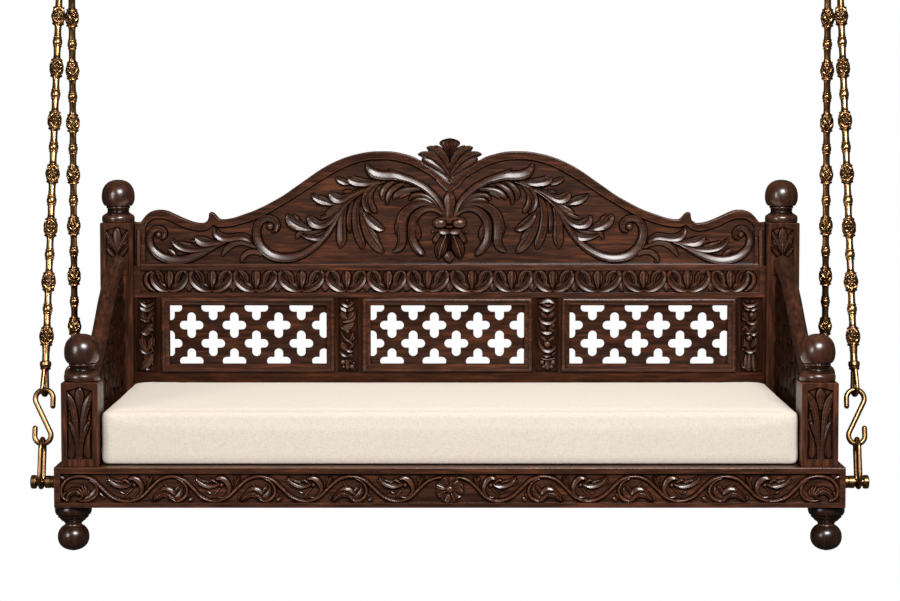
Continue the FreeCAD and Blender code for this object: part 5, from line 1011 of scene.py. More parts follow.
def under_crest(c):
    """Spiral branch hanging from a crest, with its curled leaves."""
    R.px([(c + 4.0, 478.4, 2.0), (c + 10.0, 481.4, 2.6), (c + 13.6, 486.0, 2.8), (c + 14.9, 491.4, 3.2), (c + 13.0, 496.6, 3.8), (c + 8.6, 500.0, 4.2), (c + 3.6, 501.0, 3.6), (c - 0.8, 499.4, 2.2)], h=8.5, prof="round", skirt=1.4)
    R.px([(c + 9.4, 487.0, 1.6), (c + 8.8, 492.0, 4.6), (c + 6.0, 496.0, 5.4), (c + 2.0, 497.4, 2.4)], h=6.0, prof="leaf", skirt=1.0)
    R.px([(c + 5.4, 500.0, 2.0), (c + 0.6, 497.0, 5.4), (c - 5.0, 493.6, 7.6), (c - 10.6, 493.6, 7.6), (c - 15.0, 496.6, 6.0), (c - 18.4, 500.2, 3.0), (c - 19.8, 502.0, 1.0)], h=10.0, prof="vein", skirt=1.6)
    R.px([(c + 3.0, 494.6, 1.6), (c + 0.4, 490.8, 4.2), (c - 4.0, 488.2, 4.0), (c - 9.0, 488.4, 3.2), (c - 13.0, 491.0, 1.2)], h=10.5, prof="ledge", flip=True, skirt=1.4)
    R.px([(c + 4.4, 500.6, 1.6), (c + 0.2, 498.4, 2.6), (c - 3.0, 495.0, 2.4), (c - 5.8, 492.4, 1.4)], h=12.5, prof="round", skirt=0.8)
    R.px([(c + 1.6, 493.4, 1.6), (c + 3.8, 490.2, 3.8), (c + 6.2, 487.4, 3.8), (c + 7.6, 485.6, 1.2)], h=8.5, prof="leaf", skirt=1.2)
    R.px([(c - 8.8, 482.6, 1.2), (c - 6.6, 484.8, 2.0), (c - 4.8, 486.8, 1.0)], h=4.5, prof="round", skirt=0.8)
    R.px([(c - 20.6, 499.4, 1.2), (c - 21.6, 497.6, 2.4), (c - 19.6, 496.4, 1.2)], h=5.0, prof="leaf", skirt=1.0)
    R.px([(c + 16.4, 501.4, 1.4), (c + 18.8, 499.4, 4.4), (c + 21.4, 497.2, 1.4)], h=5.5, prof="leaf", skirt=1.0, free=True)
    R.px([(c + 15.8, 497.6, 1.2), (c + 17.0, 495.0, 2.4), (c + 18.6, 493.4, 1.0)], h=5.0, prof="leaf", skirt=0.8, free=True)


def over_trough(t):
    """Spiral branch rising from a trough, with its long curled leaf and round bud."""
    R.px([(t + 2.2, 478.8, 1.8), (t + 6.8, 477.4, 4.2), (t + 11.6, 479.6, 5.4), (t + 14.6, 483.4, 5.0), (t + 16.2, 488.0, 4.0), (t + 15.2, 493.0, 3.4), (t + 11.6, 497.4, 3.2), (t + 6.0, 500.2, 3.0), (t - 0.4, 501.0, 2.2)],
         h=10.0, prof="ledge", skirt=1.5)
    R.px([(t + 5.4, 483.0, 2.4), (t + 0.6, 485.0, 4.8), (t - 4.6, 485.0, 6.4), (t - 10.0, 483.2, 6.8), (t - 14.4, 480.2, 5.0), (t - 16.8, 477.4, 2.2), (t - 17.4, 476.0, 1.0)], h=10.0, prof="cup", flip=True, skirt=1.6)
    R.px([(t + 3.6, 482.6, 1.6), (t + 0.8, 480.8, 3.0), (t - 1.8, 479.8, 2.8), (t - 3.6, 481.4, 1.2)], h=11.0, prof="round", skirt=1.0)
    R.px([(t - 4.0, 481.6, 1.4), (t - 8.0, 481.0, 2.4), (t - 11.6, 479.6, 1.2)], h=10.5, prof="round", skirt=0.8)
    R.px([(t - 15.4, 485.0, 1.2), (t - 17.4, 482.4, 2.2), (t - 19.6, 479.4, 1.0)], h=5.0, prof="round", skirt=0.8)
    R.domepx(t + 8.2, 484.8, 2.3, 10.0, skirt=1.2)
    R.px([(t + 6.6, 487.8, 1.4), (t + 4.0, 491.0, 1.8), (t + 0.6, 494.4, 1.6), (t - 1.0, 497.4, 1.0)], h=4.0, prof="round", skirt=0.8)
    R.px([(t - 1.6, 493.6, 1.0), (t - 4.4, 492.6, 2.4), (t - 6.4, 491.2, 1.0)], h=4.5, prof="leaf", skirt=0.8)
    R.px([(t + 12.8, 497.2, 1.2), (t + 8.0, 497.6, 2.4), (t + 2.6, 496.6, 1.0)], h=4.5, prof="leaf", skirt=0.8)
    R.px([(t + 21.4, 490.0, 1.4), (t + 22.2, 485.0, 3.4), (t + 24.2, 480.2, 4.6), (t + 26.8, 476.2, 1.8)], h=8.0, prof="vein", skirt=1.2, free=True)
    R.px([(t + 22.2, 482.4, 1.2), (t + 21.4, 479.0, 2.8), (t + 22.2, 475.8, 1.2)], h=7.0, prof="leaf", skirt=1.0)


for c in (172.4, 260.3, 351.8):
    under_crest(c)
for t in (126.2, 213.6, 305.4, 396.9):
    over_trough(t)
# end spiral
R.px([(90.0, 479.6, 1.6), (95.4, 483.8, 2.4), (97.8, 489.6, 2.6), (97.0, 494.4, 2.8), (93.4, 498.4, 3.0), (88.0, 500.4, 3.0), (82.0, 500.4, 2.8), (77.6, 499.2, 1.4)], h=8.5, prof="round", skirt=1.3)
R.px([(96.4, 487.6, 1.4), (94.2, 492.6, 4.8), (89.8, 497.0, 5.4), (84.4, 498.8, 2.4)], h=5.5, prof="leaf", skirt=0.8)
R.px([(82.6, 498.0, 2.4), (80.6, 493.0, 6.0), (76.0, 490.6, 7.0), (71.0, 492.2, 7.0), (68.0, 496.2, 5.6), (67.0, 500.4, 3.4), (67.0, 502.2, 1.2)], h=10.0, prof="vein", skirt=1.6)
for q in (((83.6, 497.0), (78.6, 487.4), 3.4), ((84.8, 496.2), (81.4, 484.6), 3.4), ((86.2, 495.6), (84.8, 485.0), 3.2), ((87.4, 495.8), (88.8, 488.6), 3.0)):
    R.leafpx(q[0], q[1], q[2], bend=-0.10, shape="leaf", h=10.5, prof="round", skirt=1.0)
R.px([(77.6, 499.0, 1.2), (80.0, 498.4, 2.4), (83.0, 497.0, 1.2)], h=11.5, prof="round", skirt=0.6)
R.domepx(67.2, 499.6, 2.2, 12.0, skirt=1.0)
R.px([(63.6, 497.0, 1.2), (64.6, 494.0, 3.0), (65.6, 491.4, 1.2)], h=11.0, prof="round", skirt=0.6)
R.px([(99.6, 492.2, 1.2), (101.4, 494.6, 3.2), (104.6, 496.6, 1.2)], h=6.0, prof="leaf", skirt=1.0, free=True)
R.px([(102.0, 498.6, 1.0), (104.0, 497.8, 2.0), (105.8, 497.2, 1.0)], h=4.5, prof="leaf", skirt=0.8, free=True)
R.px([(60.6, 475.8, 1.2), (62.6, 477.2, 3.0), (64.8, 478.6, 1.2)], h=6.0, prof="ledge", skirt=1.0, free=True)

LEFT_X = [-970, -(449.8 - 80.9) * 2.42, -(449.8 - 127.3) * 2.42, -(449.8 - 172.4) * 2.42, -(449.8 - 213.6) * 2.42, -(449.8 - 260.3) * 2.42, -(449.8 - 305.4) * 2.42, -(449.8 - 351.8) * 2.42,
          -(449.8 - 396.9) * 2.42, 0.0]
RIGHT_X = [970, (816.8 - 449.8) * 2.42, (771.7 - 449.8) * 2.42, (725.3 - 449.8) * 2.42, (679.6 - 449.8) * 2.42, (633.5 - 449.8) * 2.42, (588.4 - 449.8) * 2.42, (543.3 - 449.8) * 2.42,
           (498.2 - 449.8) * 2.42, 0.0]
mx, my = np.array([-q for q in LEFT_X][::-1]), np.array(RIGHT_X[::-1])
both_sides("front_rail_carving", R, WOOD_VINE, warp=lambda x: np.interp(x, mx, my))

RO = Relief(-4.0)
x0, z0 = E(449.8, 489.1, -4.0)
for k in range(8):
    an = math.radians(22.5 + 45 * k)
    ca, sa = math.cos(an), math.sin(an)
    RO.leaf((x0 + 7 * ca, z0 + 7 * sa), (x0 + 35.5 * ca, z0 + 33.8 * sa), 24.0, shape="petal", h=9.5, prof="cup" if k % 2 else "vein", n=11, flip=bool(k % 2))
RO.dome(x0, z0, 10.5, 10.5, 13.5, skirt=0.0, lift=2.0, wall=0.45)
v, a, f = RO.arrays()
build("front_rail_rosette", v, f, WOOD_VINE, "swing", a, 55)

# ------------------------------------------------------------------ lilies on the posts
L = Relief(7.0)
for s in (-1, 1):
    c0 = 79.4
    L.px([(c0 + s * 1.6, 463.0, 3.6), (c0 + s * 1.9, 446, 3.8), (c0 + s * 2.9, 430, 4.6), (c0 + s * 5.0, 414, 6.6), (c0 + s * 7.8, 403, 7.2), (c0 + s * 10.6, 396.6, 5.0), (c0 + s * 12.4, 392.0, 1.2)],
         h=8.0, prof="leaf", ridge=0.0)
    L.px([(c0 + s * 2.0, 452, 2.0), (c0 + s * 4.0, 438, 3.4), (c0 + s * 6.6, 429, 4.6), (c0 + s * 9.0, 423.6, 3.4), (c0 + s * 10.2, 421.0, 1.4)], h=7.0, prof="leaf")
    L.domepx(c0 + s * 9.2, 423.2, 1.9, 7.5, skirt=1.2)
    L.domepx(c0 + s * 9.6, 408.6, 1.3, 6.0, skirt=1.2)
    L.px([(c0 + s * 11.6, 430.0, 0.8), (c0 + s * 11.4, 446.0, 0.9), (c0 + s * 11.6, 456.4, 0.9), (c0 + s * 9.0, 459.4, 0.9), (c0 + s * 5.6, 456.6, 0.9), (c0 + s * 3.6, 448.0, 0.8)], h=0.9, prof="line", skirt=1.0)
    L.px([(c0 + s * 11.9, 397.0, 0.8), (c0 + s * 11.6, 410.0, 0.9), (c0 + s * 11.6, 419.0, 0.8)], h=0.9, prof="line", skirt=1.0)
L.px([(c0, 410, 2.4), (c0, 401, 7.4), (c0, 394.4, 8.8), (c0, 390.0, 5.6), (c0, 386.4, 1.2)], h=8.5, prof="leaf")
L.px([(c0, 464.6, 5.6), (c0, 452, 3.2), (c0, 438, 1.4)], h=6.0, prof="leaf")
both_sides("front_post_lily", L, WOOD_CARVED)

L = Relief(609.0)
c0 = 117.1
for s in (-1, 1):
    L.px([(c0 + s * 0.8, 252.4, 2.4), (c0 + s * 3.2, 246.0, 4.6), (c0 + s * 6.8, 239.4, 5.4), (c0 + s * 9.6, 234.4, 4.4), (c0 + s * 11.2, 231.0, 1.4)], h=8.0, prof="vein")
    L.px([(c0 + s * 4.4, 243.6, 1.4), (c0 + s * 7.2, 243.4, 3.0), (c0 + s * 9.6, 241.0, 1.2)], h=6.0, prof="leaf")
    L.px([(c0 + s * 2.4, 257.2, 2.4), (c0 + s * 6.2, 252.6, 4.6), (c0 + s * 9.0, 249.4, 3.6), (c0 + s * 10.6, 247.2, 1.4)], h=7.5, prof="vein")
L.px([(c0, 253.0, 1.4), (c0, 243.0, 6.0), (c0, 235.6, 7.8), (c0, 230.6, 5.8), (c0, 226.6, 1.2)], h=8.5, prof="leaf")
L.px([(c0, 258.0, 1.6), (c0, 255.0, 1.6), (c0, 252.4, 1.2)], h=5.0, prof="round")
both_sides("rear_post_lily", L, WOOD_CARVED)

# slim half-round beside the crest recess
Q = Relief(625.6)
Q.px([(138.6, 267.0, 4.4), (138.6, 250.0, 4.4), (138.7, 238.0, 4.4), (138.8, 229.6, 4.0)], h=5.0, prof="round", skirt=0.8)
Q.px([(142.4, 243.4, 1.2), (143.4, 239.4, 2.2), (142.6, 236.0, 1.0)], h=4.0, prof="leaf", skirt=0.4)
both_sides("crest_end_bead", Q, WOOD_CARVED)

# ------------------------------------------------------------------ arms and carved side panels
ARM_LINE = [(602.0, 456.0), (560.0, 450.5), (520.0, 440.0), (480.0, 422.0), (440.0, 400.0), (380.0, 363.0), (330.0, 326.0), (270.0, 285.0), (200.0, 248.0), (140.0, 213.0), (90.0, 178.0)]
ARM_CX, ARM_HW, ARM_HT = 897.0, 20.0, 25.0


def arm(side):
    S = spline(ARM_LINE, 4.0)
    T = np.gradient(S, axis=0)
    T /= np.linalg.norm(T, axis=1)[:, None]
    N = np.stack([-T[:, 1], T[:, 0]], 1)
    N[N[:, 1] < 0] *= -1
    ring = []
    for k in range(40):
        a = 2 * math.pi * k / 40
        ca, sa = math.cos(a), math.sin(a)
        ex = 0.70
        ring.append((math.copysign(abs(ca) ** ex, ca) * ARM_HW, math.copysign(abs(sa) ** ex, sa) * ARM_HT))
    ring = np.array(ring)
    v = []
    for p, n in zip(S, N):
        for rx, rz in ring:
            v.append((side * (ARM_CX + rx), min(max(p[0] + n[0] * rz, 89.9), 602.1), p[1] + n[1] * rz))
    c = len(ring)
    f = []
    for i in range(len(S) - 1):
        for j in range(c):
            k = (j + 1) % c
            f.append((i * c + j, i * c + k, (i + 1) * c + k, (i + 1) * c + j))
    f.append(tuple(range(c)))
    f.append(tuple((len(S) - 1) * c + j for j in reversed(range(c))))
    nm = "right" if side > 0 else "left"
    o = build(nm + "_arm_finish", v, f, WOOD_ARM, "swing", None, 60)
    normals_out(o)
    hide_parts(nm + "_arm")


arm(1)
arm(-1)
arm_z = lambda y: np.interp(y, [p[0] for p in ARM_LINE][::-1], [p[1] for p in ARM_LINE][::-1])

SP = Relief()


def frond(y, top, lean, w):
    """Upright acanthus: a stem with paired leaves, tips turned out."""
    base = 8.0
    rows, n = [], 6
    for i in range(n):
        t = i / (n - 1)
        rows.append((y + lean * t * t * 40, base + (top - base) * t, max(w * (0.30 - 0.2 * t), 2.0), 1.0))
    SP.strip(rows, h=5.6, prof="round", skirt=1.2)
    m = max(2, int((top - base) / 52))
    for i in range(m):
        t = (i + 0.25) / m
        z0 = base + (top - base) * t
        yy = y + lean * t * t * 40
        ln = min(58.0, (top - z0) * 0.95)
        if ln < 14:
            continue
        for s in (-1, 1):
            SP.leaf((yy, z0), (yy + s * w * 0.62, z0 + ln), w * 0.46, bend=-0.13 * s, curl=-0.06 * s, shape="leaf", h=5.8, prof="vein", skirt=1.2)
    SP.leaf((y + lean * 34, top - 26), (y + lean * 44, top + 6), w * 0.5, shape="leaf", h=6.0, prof="vein", skirt=1.2)


for y, w in ((128, 54), (186, 56), (246, 58), (308, 60), (372, 62), (438, 62), (504, 62), (568, 54)):
    for inner in (False, True):
        if inner:
            SP.plane((885.0, 0, 0), (0, -1, 0), (0, 0, 1), (-1, 0, 0))
            frond(-y, float(arm_z(y)) - 40, 0.25, w)
        else:
            SP.plane((907.0, 0, 0), (0, 1, 0), (0, 0, 1), (1, 0, 0))
            frond(y, float(arm_z(y)) - 40, -0.25, w)
for q in SP.V:
    # the tops of the fronds run out under the arm
    q[:, 2] = np.minimum(q[:, 2], np.interp(q[:, 1], [p[0] for p in ARM_LINE][::-1], [p[1] for p in ARM_LINE][::-1]) - 21.0)
    q[:, 1] = np.clip(q[:, 1], 92.0, 600.0)
v, a, f = SP.arrays()
build("arm_panel_carving_right", v, f, WOOD_SHADE, "swing", a, 55)
v, a, f = SP.mirrored()
build("arm_panel_carving_left", v, f, WOOD_SHADE, "swing", a, 55)

# ------------------------------------------------------------------ turned parts
def arc(cx, cz, r, a0, a1, n):
    return [(cx + r * math.cos(math.radians(a0 + (a1 - a0) * i / n)), cz + r * math.sin(math.radians(a0 + (a1 - a0) * i / n))) for i in range(n + 1)]


def ell(cx, cz, rx, rz, a0, a1, n):
    return [(cx + rx * math.cos(math.radians(a0 + (a1 - a0) * i / n)), cz + rz * math.sin(math.radians(a0 + (a1 - a0) * i / n))) for i in range(n + 1)]


def full_ell(cz, rx, rz, a0, a1, n, p=2.2):
    """Arc of a slightly squared ellipse centred on the axis."""
    out = []
    for i in range(n + 1):
        t = math.radians(a0 + (a1 - a0) * i / n)
        c, s = math.cos(t), math.sin(t)
        out.append((rx * abs(c) ** (2 / p), cz + math.copysign(rz * abs(s) ** (2 / p), s)))
    return out


def fin(ball):
    return [(0.5, 0.1), (41.5, 0.0), (43.6, 2.0), (44.0, 6.0), (44.0, 13.0), (42.8, 17.0), (40.0, 20.0), (37.6, 20.9),
            (36.4, 21.2), (36.4, 22.8)] + ell(37.5, 31.0, 8.6, 8.2, 262, 158, 12)[1:] + \
           [(31.2, 35.4), (29.0, 36.4), (28.0, 37.4), (31.4, 38.2), (32.4, 40.4), (32.2, 42.6), (31.0, 44.0), (33.0, 44.6)] + \
           full_ell(69.0, ball, 37.4, -37, 0, 16, 2.3)[:-1] + full_ell(69.0, ball, 46.6, 0, 89.4, 40, 2.3)
FOOT = [(0.5, -0.1), (41.0, 0.0), (42.9, -2.0), (42.9, -22.4), (41.8, -24.4), (38.6, -25.6), (37.5, -27.2), (37.5, -30.6), (36.2, -32.2), (33.4, -33.4), (32.4, -35.0), (31.0, -37.2),
        (27.4, -40.4), (23.2, -43.2), (21.0, -46.0), (20.6, -49.2)] + full_ell(-80.0, 38.6, 33.6, 58.0, -78, 40) + [(7.6, -113.7), (6.6, -114.0), (0.4, -114.0)]


def turned_pair(name, profile, spots, material, node, carve=True):
    pr = dense(profile, 1.6)
    v, f = revolve(pr, 80)
    d = np.gradient(pr, axis=0)
    d /= np.maximum(np.linalg.norm(d, axis=1), 1e-9)[:, None]
    # concave corners read as dark rings of painted shade, convex ones as rubbed edges
    turn = np.zeros(len(pr))
    turn[1:-1] = d[:-2, 0] * d[2:, 1] - d[:-2, 1] * d[2:, 0]
    a = np.clip(turn * 1.6, -0.9, 0.35)
    a = np.repeat(a, 80) if carve else None
    vs, fs, as_ = [], [], []
    for i, s in enumerate(spots):
        vs.append(v + np.array(s, float))
        fs.append(f + i * len(v))
        as_.append(a)
    o = build(name, np.concatenate(vs), np.concatenate(fs), material, "swing", np.concatenate(as_) if carve else None, 50)
    normals_out(o)
    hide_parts(node)


turned_pair("front_finials_turned", fin(43.4), [(903, 45, 206.5), (-903, 45, 206.5)], WOOD_TURN, "front_finials")
turned_pair("rear_finials_turned", fin(44.6), [(901.5, 647, 569.3), (-901.5, 647, 569.3)], WOOD_TURN, "rear_finials")
turned_pair("front_feet_turned", FOOT, [(927.4, 45, -99), (-927.4, 45, -99)], WOOD_TURN, "front_feet")
turned_pair("rear_feet_turned", FOOT, [(927.4, 647, -99), (-927.4, 647, -99)], WOOD_TURN, "rear_feet")

# ------------------------------------------------------------------ joinery with eased edges
for nm in ("front_rail", "back_rail", "frieze_rail"):
    refine(nm, WOOD_X)
refine("back_bottom_rail", WOOD_LOW)
for nm in ("left_side_rail", "right_side_rail"):
    refine(nm, WOOD_Y)
for nm in ("left_front_post", "right_front_post", "left_rear_post", "right_rear_post"):
    refine(nm, WOOD_Z)
for nm in ("left_end_stile", "right_end_stile", "left_mid_stile", "right_mid_stile"):
    refine(nm, WOOD_STILE, bevel=0.0, even=False)
for nm in ("left_moulding_frame", "centre_moulding_frame", "right_moulding_frame"):
    refine(nm, WOOD_X, bevel=0.5, seg=1, angle=50)
for nm in ("left_jali_panel", "centre_jali_panel", "right_jali_panel"):
    refine(nm, WOOD_JALI, bevel=0.8, seg=2, angle=50)
for nm in ("left_arm_panel", "right_arm_panel"):
    refine(nm, WOOD_SHADE, bevel=0.0)

# ------------------------------------------------------------------ chains
PIN_Z = -44.0
BEAD_PITCH, BEAD_N, BEAD_H, ROD_R, BALL_R, BALL_OFF, NECK_R = 139.4, 7, 46.0, 9.4, 8.0, 11.14, 5.0
HANGER_Y, HANGER_Z = 396.0, 1257.0


def chain_basis(y0, px_, ex, sx):
    p0, p1 = np.array([sx * px_, y0, PIN_Z]), np.array([sx * ex, HANGER_Y, HANGER_Z])
    z = (p1 - p0) / np.linalg.norm(p1 - p0)
    x = np.array([1.0, 0, 0]) - z * z[0]
    x /= np.linalg.norm(x)
    y = np.cross(z, x)
    return p0, np.stack([x, y, z])


def bead_mesh():
    """Barrel with a raised diamond lattice, leaf-shaped sinkings, and lipped ends."""
    seg = 72
    prof = [(5.6, -23.0), (11.5, -23.0), (14.4, -22.6), (15.6, -21.6), (15.6, -20.4), (14.5, -19.4), (13.4, -18.9)]
    prof += [(r, z) for r, z in ell(0, 0, 18.7, 26.5, -43, 43, 38)]
    prof += [(13.4, 18.9), (14.2, 19.5), (15.0, 20.6), (14.6, 22.2), (11.5, 23.0), (5.6, 23.0)]
    pr = np.array(prof)
    ang = np.linspace(0, 2 * math.pi, seg, endpoint=False)
    v, a = [], []
    for r, z in pr:
        for th in ang:
            if abs(z) < 18.2:
                n = 3
                p = th * n / math.pi + z / 19.0
                q = th * n / math.pi - z / 19.0
                dp, dq = abs(p - round(p)), abs(q - round(q))
                rib = max(0.0, 1 - min(dp, dq) / 0.19)
                rib = rib * rib * (3 - 2 * rib)
                # a small stud in each diamond's middle
                fp, fq = p - math.floor(p) - 0.5, q - math.floor(q) - 0.5
                stud = max(0.0, 1 - (fp * fp + fq * fq) / 0.030)
                fade = min(1.0, (18.2 - abs(z)) / 2.0)
                k = max(rib, 0.85 * stud)
                rr = r - 2.6 * (1 - k) * fade
                v.append((rr * math.cos(th), rr * math.sin(th), z))
                a.append((-0.95 + 1.35 * k) * fade)
            else:
                v.append((r * math.cos(th), r * math.sin(th), z))
                a.append(0.35 if 19.6 < abs(z) < 22.5 else -0.4)
    n = len(pr)
    f = []
    for i in range(n - 1):
        for j in range(seg):
            k = (j + 1) % seg
            f.append((i * seg + j, i * seg + k, (i + 1) * seg + k, (i + 1) * seg + j))
    return np.array(v), np.array(a), np.array(f)


MID = [(ROD_R, -13.5), (11.0, -12.6), (11.4, -11.0), (11.0, -9.2), (9.6, -8.2), (11.4, -6.6), (12.4, -4.2), (12.7, 0.0), (12.4, 4.2),
       (11.4, 6.6), (9.6, 8.2), (11.0, 9.2), (11.4, 11.0), (11.0, 12.6), (ROD_R, 13.5)]


def rod_mesh():
    P_, h = BEAD_PITCH, BEAD_H / 2 + 0.3
    pts = [(r, z + BALL_OFF) for r, z in ell(0, 0, BALL_R, BALL_R, -89, 51, 12)]
    pts += [(NECK_R, BALL_OFF + 6.6), (NECK_R, h), (ROD_R + 1.2, h), (ROD_R + 1.4, h + 1.5), (ROD_R, h + 3.4), (ROD_R - 0.5, h + 9), (ROD_R - 0.7, P_ / 4 + 4), (ROD_R - 0.2, P_ / 2 - 18)]
    pts += [(r, P_ / 2 + z) for r, z in MID]
    tail = [(r, P_ - z) for r, z in reversed(pts[:-len(MID)])]
    pr = np.array(pts + tail)
    seg = 40
    ang = np.linspace(0, 2 * math.pi, seg, endpoint=False)
    v, a = [], []
    for r, z in pr:
        body = min(z, P_ - z) > h + 4 and abs(z - P_ / 2) > 14
        knurl = abs(z - P_ / 2) < 4.2
        for th in ang:
            rr = r
            c = 0.0
            if knurl:
                w = 0.5 + 0.5 * math.cos(th * 14)
                rr -= 0.5 * (1 - w)
                c = -0.3 + 0.7 * w
            elif not body:
                c = 0.25 if r > 10.8 else -0.5
            v.append((rr * math.cos(th), rr * math.sin(th), z))
            a.append(c)
    f = []
    for i in range(len(pr) - 1):
        for j in range(seg):
            k = (j + 1) % seg
            f.append((i * seg + j, i * seg + k, (i + 1) * seg + k, (i + 1) * seg + j))
    return np.array(v), np.array(a), np.array(f)


BV, BA, BF = bead_mesh()
RV, RA, RF = rod_mesh()
for tag, y0, seat, ex, BEAD_FIRST in (("front", 45.0, 1006.0, 1008.0, 362.6), ("rear", 647.0, 1024.0, 979.5, 341.5)):
    for side, sx in (("left", -1), ("right", 1)):
        p0, basis = chain_basis(y0, seat, ex, sx)
        vs, as_, fs = [], [], []
        for i in range(BEAD_N):
            turn = i * 0.39 + (0.6 if sx > 0 else 0) + (0.3 if tag == "rear" else 0)
            c, s = math.cos(turn), math.sin(turn)
            rot = BV @ np.array([[c, s, 0], [-s, c, 0], [0, 0, 1.0]])
            vs.append((rot + np.array([0, 0, BEAD_FIRST + i * BEAD_PITCH])) @ basis + p0)
            as_.append(BA)
            fs.append(BF + i * len(BV))
        o = build("%s_%s_barrels_cast" % (side, tag), np.concatenate(vs), np.concatenate(fs), BRASS, "swing", np.concatenate(as_), 50)
        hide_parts("%s_%s_chain_barrels" % (side, tag))
        vs, as_, fs = [], [], []
        for i in range(BEAD_N - 1):
            vs.append((RV + np.array([0, 0, BEAD_FIRST + i * BEAD_PITCH])) @ basis + p0)
            as_.append(RA)
            fs.append(RF + i * len(RV))
        o = build("%s_%s_rods_cast" % (side, tag), np.concatenate(vs), np.concatenate(fs), BRASS, "swing", np.concatenate(as_), 50)
        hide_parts("%s_%s_chain_rods" % (side, tag))

# ------------------------------------------------------------------ cushion
CUSH_X, CUSH_Y, CUSH_Z = 852.5, (27.0, 613.0), (0.6, 134.0)


def cushion():
    """Crowned box cushion: small soft corners, flat underneath."""
    hx, y0, y1, z0, z1 = CUSH_X + 3.0, CUSH_Y[0] + 0.4, CUSH_Y[1] - 0.6, CUSH_Z[0], CUSH_Z[1]
    yc, hy = (y0 + y1) / 2, (y1 - y0) / 2

    def outline(inset):
        a, b = hx - inset, hy - inset
        r, q = max(7.0, 12.0 - 0.1 * inset), max(20.0, 38.0 - 0.1 * inset)
        pts = []
        for cx, cy, a0, ex, ey, r in ((a - q, b - q, 0, -(a - q), b, q), (-(a - q), b - q, 90, -a, -(b - r), q), (-(a - r), -(b - r), 180, a - r, -b, r), (a - r, -(b - r), 270, a, b - q, r)):
            arc_ = [(cx + r * math.cos(math.radians(a0 + 90 * k / 10)), cy + r * math.sin(math.radians(a0 + 90 * k / 10))) for k in range(11)]
            pts += arc_
            n = 120 if a0 in (0, 180) else 42
            last = arc_[-1]
            pts += [(last[0] + (ex - last[0]) * k / n, last[1] + (ey - last[1]) * k / n) for k in range(1, n)]
        q = np.array(pts)
        return q[:, 0], q[:, 1]
    rows = [(40.0, z0), (14.0, z0), (7.0, z0 + 0.8), (3.0, z0 + 3.0), (1.0, z0 + 7.0), (0.3, z0 + 14.0), (0.0, z0 + 30), (0.0, z0 + 58),
            (0.0, z0 + 84.0), (0.0, z1 - 34.0), (0.1, z1 - 22.0), (0.5, z1 - 14.0), (1.6, z1 - 8.8), (3.6, z1 - 5.4), (6.8, z1 - 3.6), (12.0, z1 - 2.6),
            (24.0, z1 - 2.0), (42.0, z1 - 1.6), (70.0, z1 - 1.2), (110.0, z1 - 0.9), (160.0, z1 - 0.6), (220.0, z1 - 0.4), (270.0, z1 - 0.3)]
    v = []
    for inset, z in rows:
        x, y = outline(inset)
        v.append(np.stack([x, y + yc, np.full(len(x), z)], -1))
    seg = len(v[0])
    v = np.concatenate(v)
    v[:, 2] += 6.5 * np.clip((v[:, 1] - y0) / (y1 - y0), 0, 1) * (v[:, 2] - z0) / (z1 - z0)
    f = []
    for i in range(len(rows) - 1):
        for j in range(seg):
            k = (j + 1) % seg
            f.append((i * seg + j, i * seg + k, (i + 1) * seg + k, (i + 1) * seg + j))
    f.append(tuple(reversed(range(seg))))
    f.append(tuple((len(rows) - 1) * seg + j for j in range(seg)))
    o = build("linen_cushion", v, f, LINEN, "cushion", None, None)
    normals_out(o)
    return o


def swell(o):
    """Remesh evenly, let the cover fill out, and keep the result within a small distance of its pattern."""
    o.parent = None
    o.matrix_world = Matrix.Identity(4)
    bpy.context.view_layer.objects.active = o
    for q in bpy.context.selected_objects:
        q.select_set(False)
    o.select_set(True)
    m = o.modifiers.new("even", "REMESH")
    m.mode = "VOXEL"
    m.voxel_size = 0.0062
    bpy.ops.object.modifier_apply(modifier=m.name)
    rest = np.array([v.co for v in o.data.vertices])
    zlow = rest[:, 2].min()
    g = o.vertex_groups.new(name="held")
    g.add([i for i, p in enumerate(rest) if p[2] < zlow + 0.004], 1.0, "REPLACE")
    c = o.modifiers.new("cloth", "CLOTH")
    st = c.settings
    st.quality = 6
    st.mass = 0.3
    st.use_pressure = True
    st.uniform_pressure_force = 3.2
    st.tension_stiffness = st.compression_stiffness = 22
    st.bending_stiffness = 3.0
    st.vertex_group_mass = "held"
    st.effector_weights.gravity = 0.0
    c.collision_settings.use_collision = False
    sc = bpy.context.scene
    sc.frame_start, sc.frame_end = 1, 14
    for fr in range(1, 15):
        sc.frame_set(fr)
    dg = bpy.context.evaluated_depsgraph_get()
    ev = o.evaluated_get(dg).to_mesh()
    new = np.array([v.co for v in ev.vertices])
    o.evaluated_get(dg).to_mesh_clear()
    o.modifiers.remove(c)
    d = new - rest
    ln = np.linalg.norm(d, axis=1)
    d *= 0.3
    ln *= 0.3
    cap = 0.0018
    d *= np.where(ln > cap, cap / np.maximum(ln, 1e-9), 1.0)[:, None]
    out = rest + d
    lo, hi = np.array([-0.8525, (27 - 396) / 1000, (0.6 - 1312) / 1000]), np.array([0.8525, (613 - 396) / 1000, (134 - 1312) / 1000])
    pad = np.array([0.0046, 0.0030, 0.0085])
    out = np.clip(out, lo - pad * np.array([1, 1, 0]), hi + pad)
    o.data.vertices.foreach_set("co", out.astype(np.float32).reshape(-1))
    o.data.update()
    sc.frame_set(1)
    o.data.shade_smooth()


cush = cushion()
swell(cush)
cush.parent = None
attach(cush, "cushion")
if not cush.data.materials:
    cush.data.materials.append(LINEN)
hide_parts("seat_cushion")

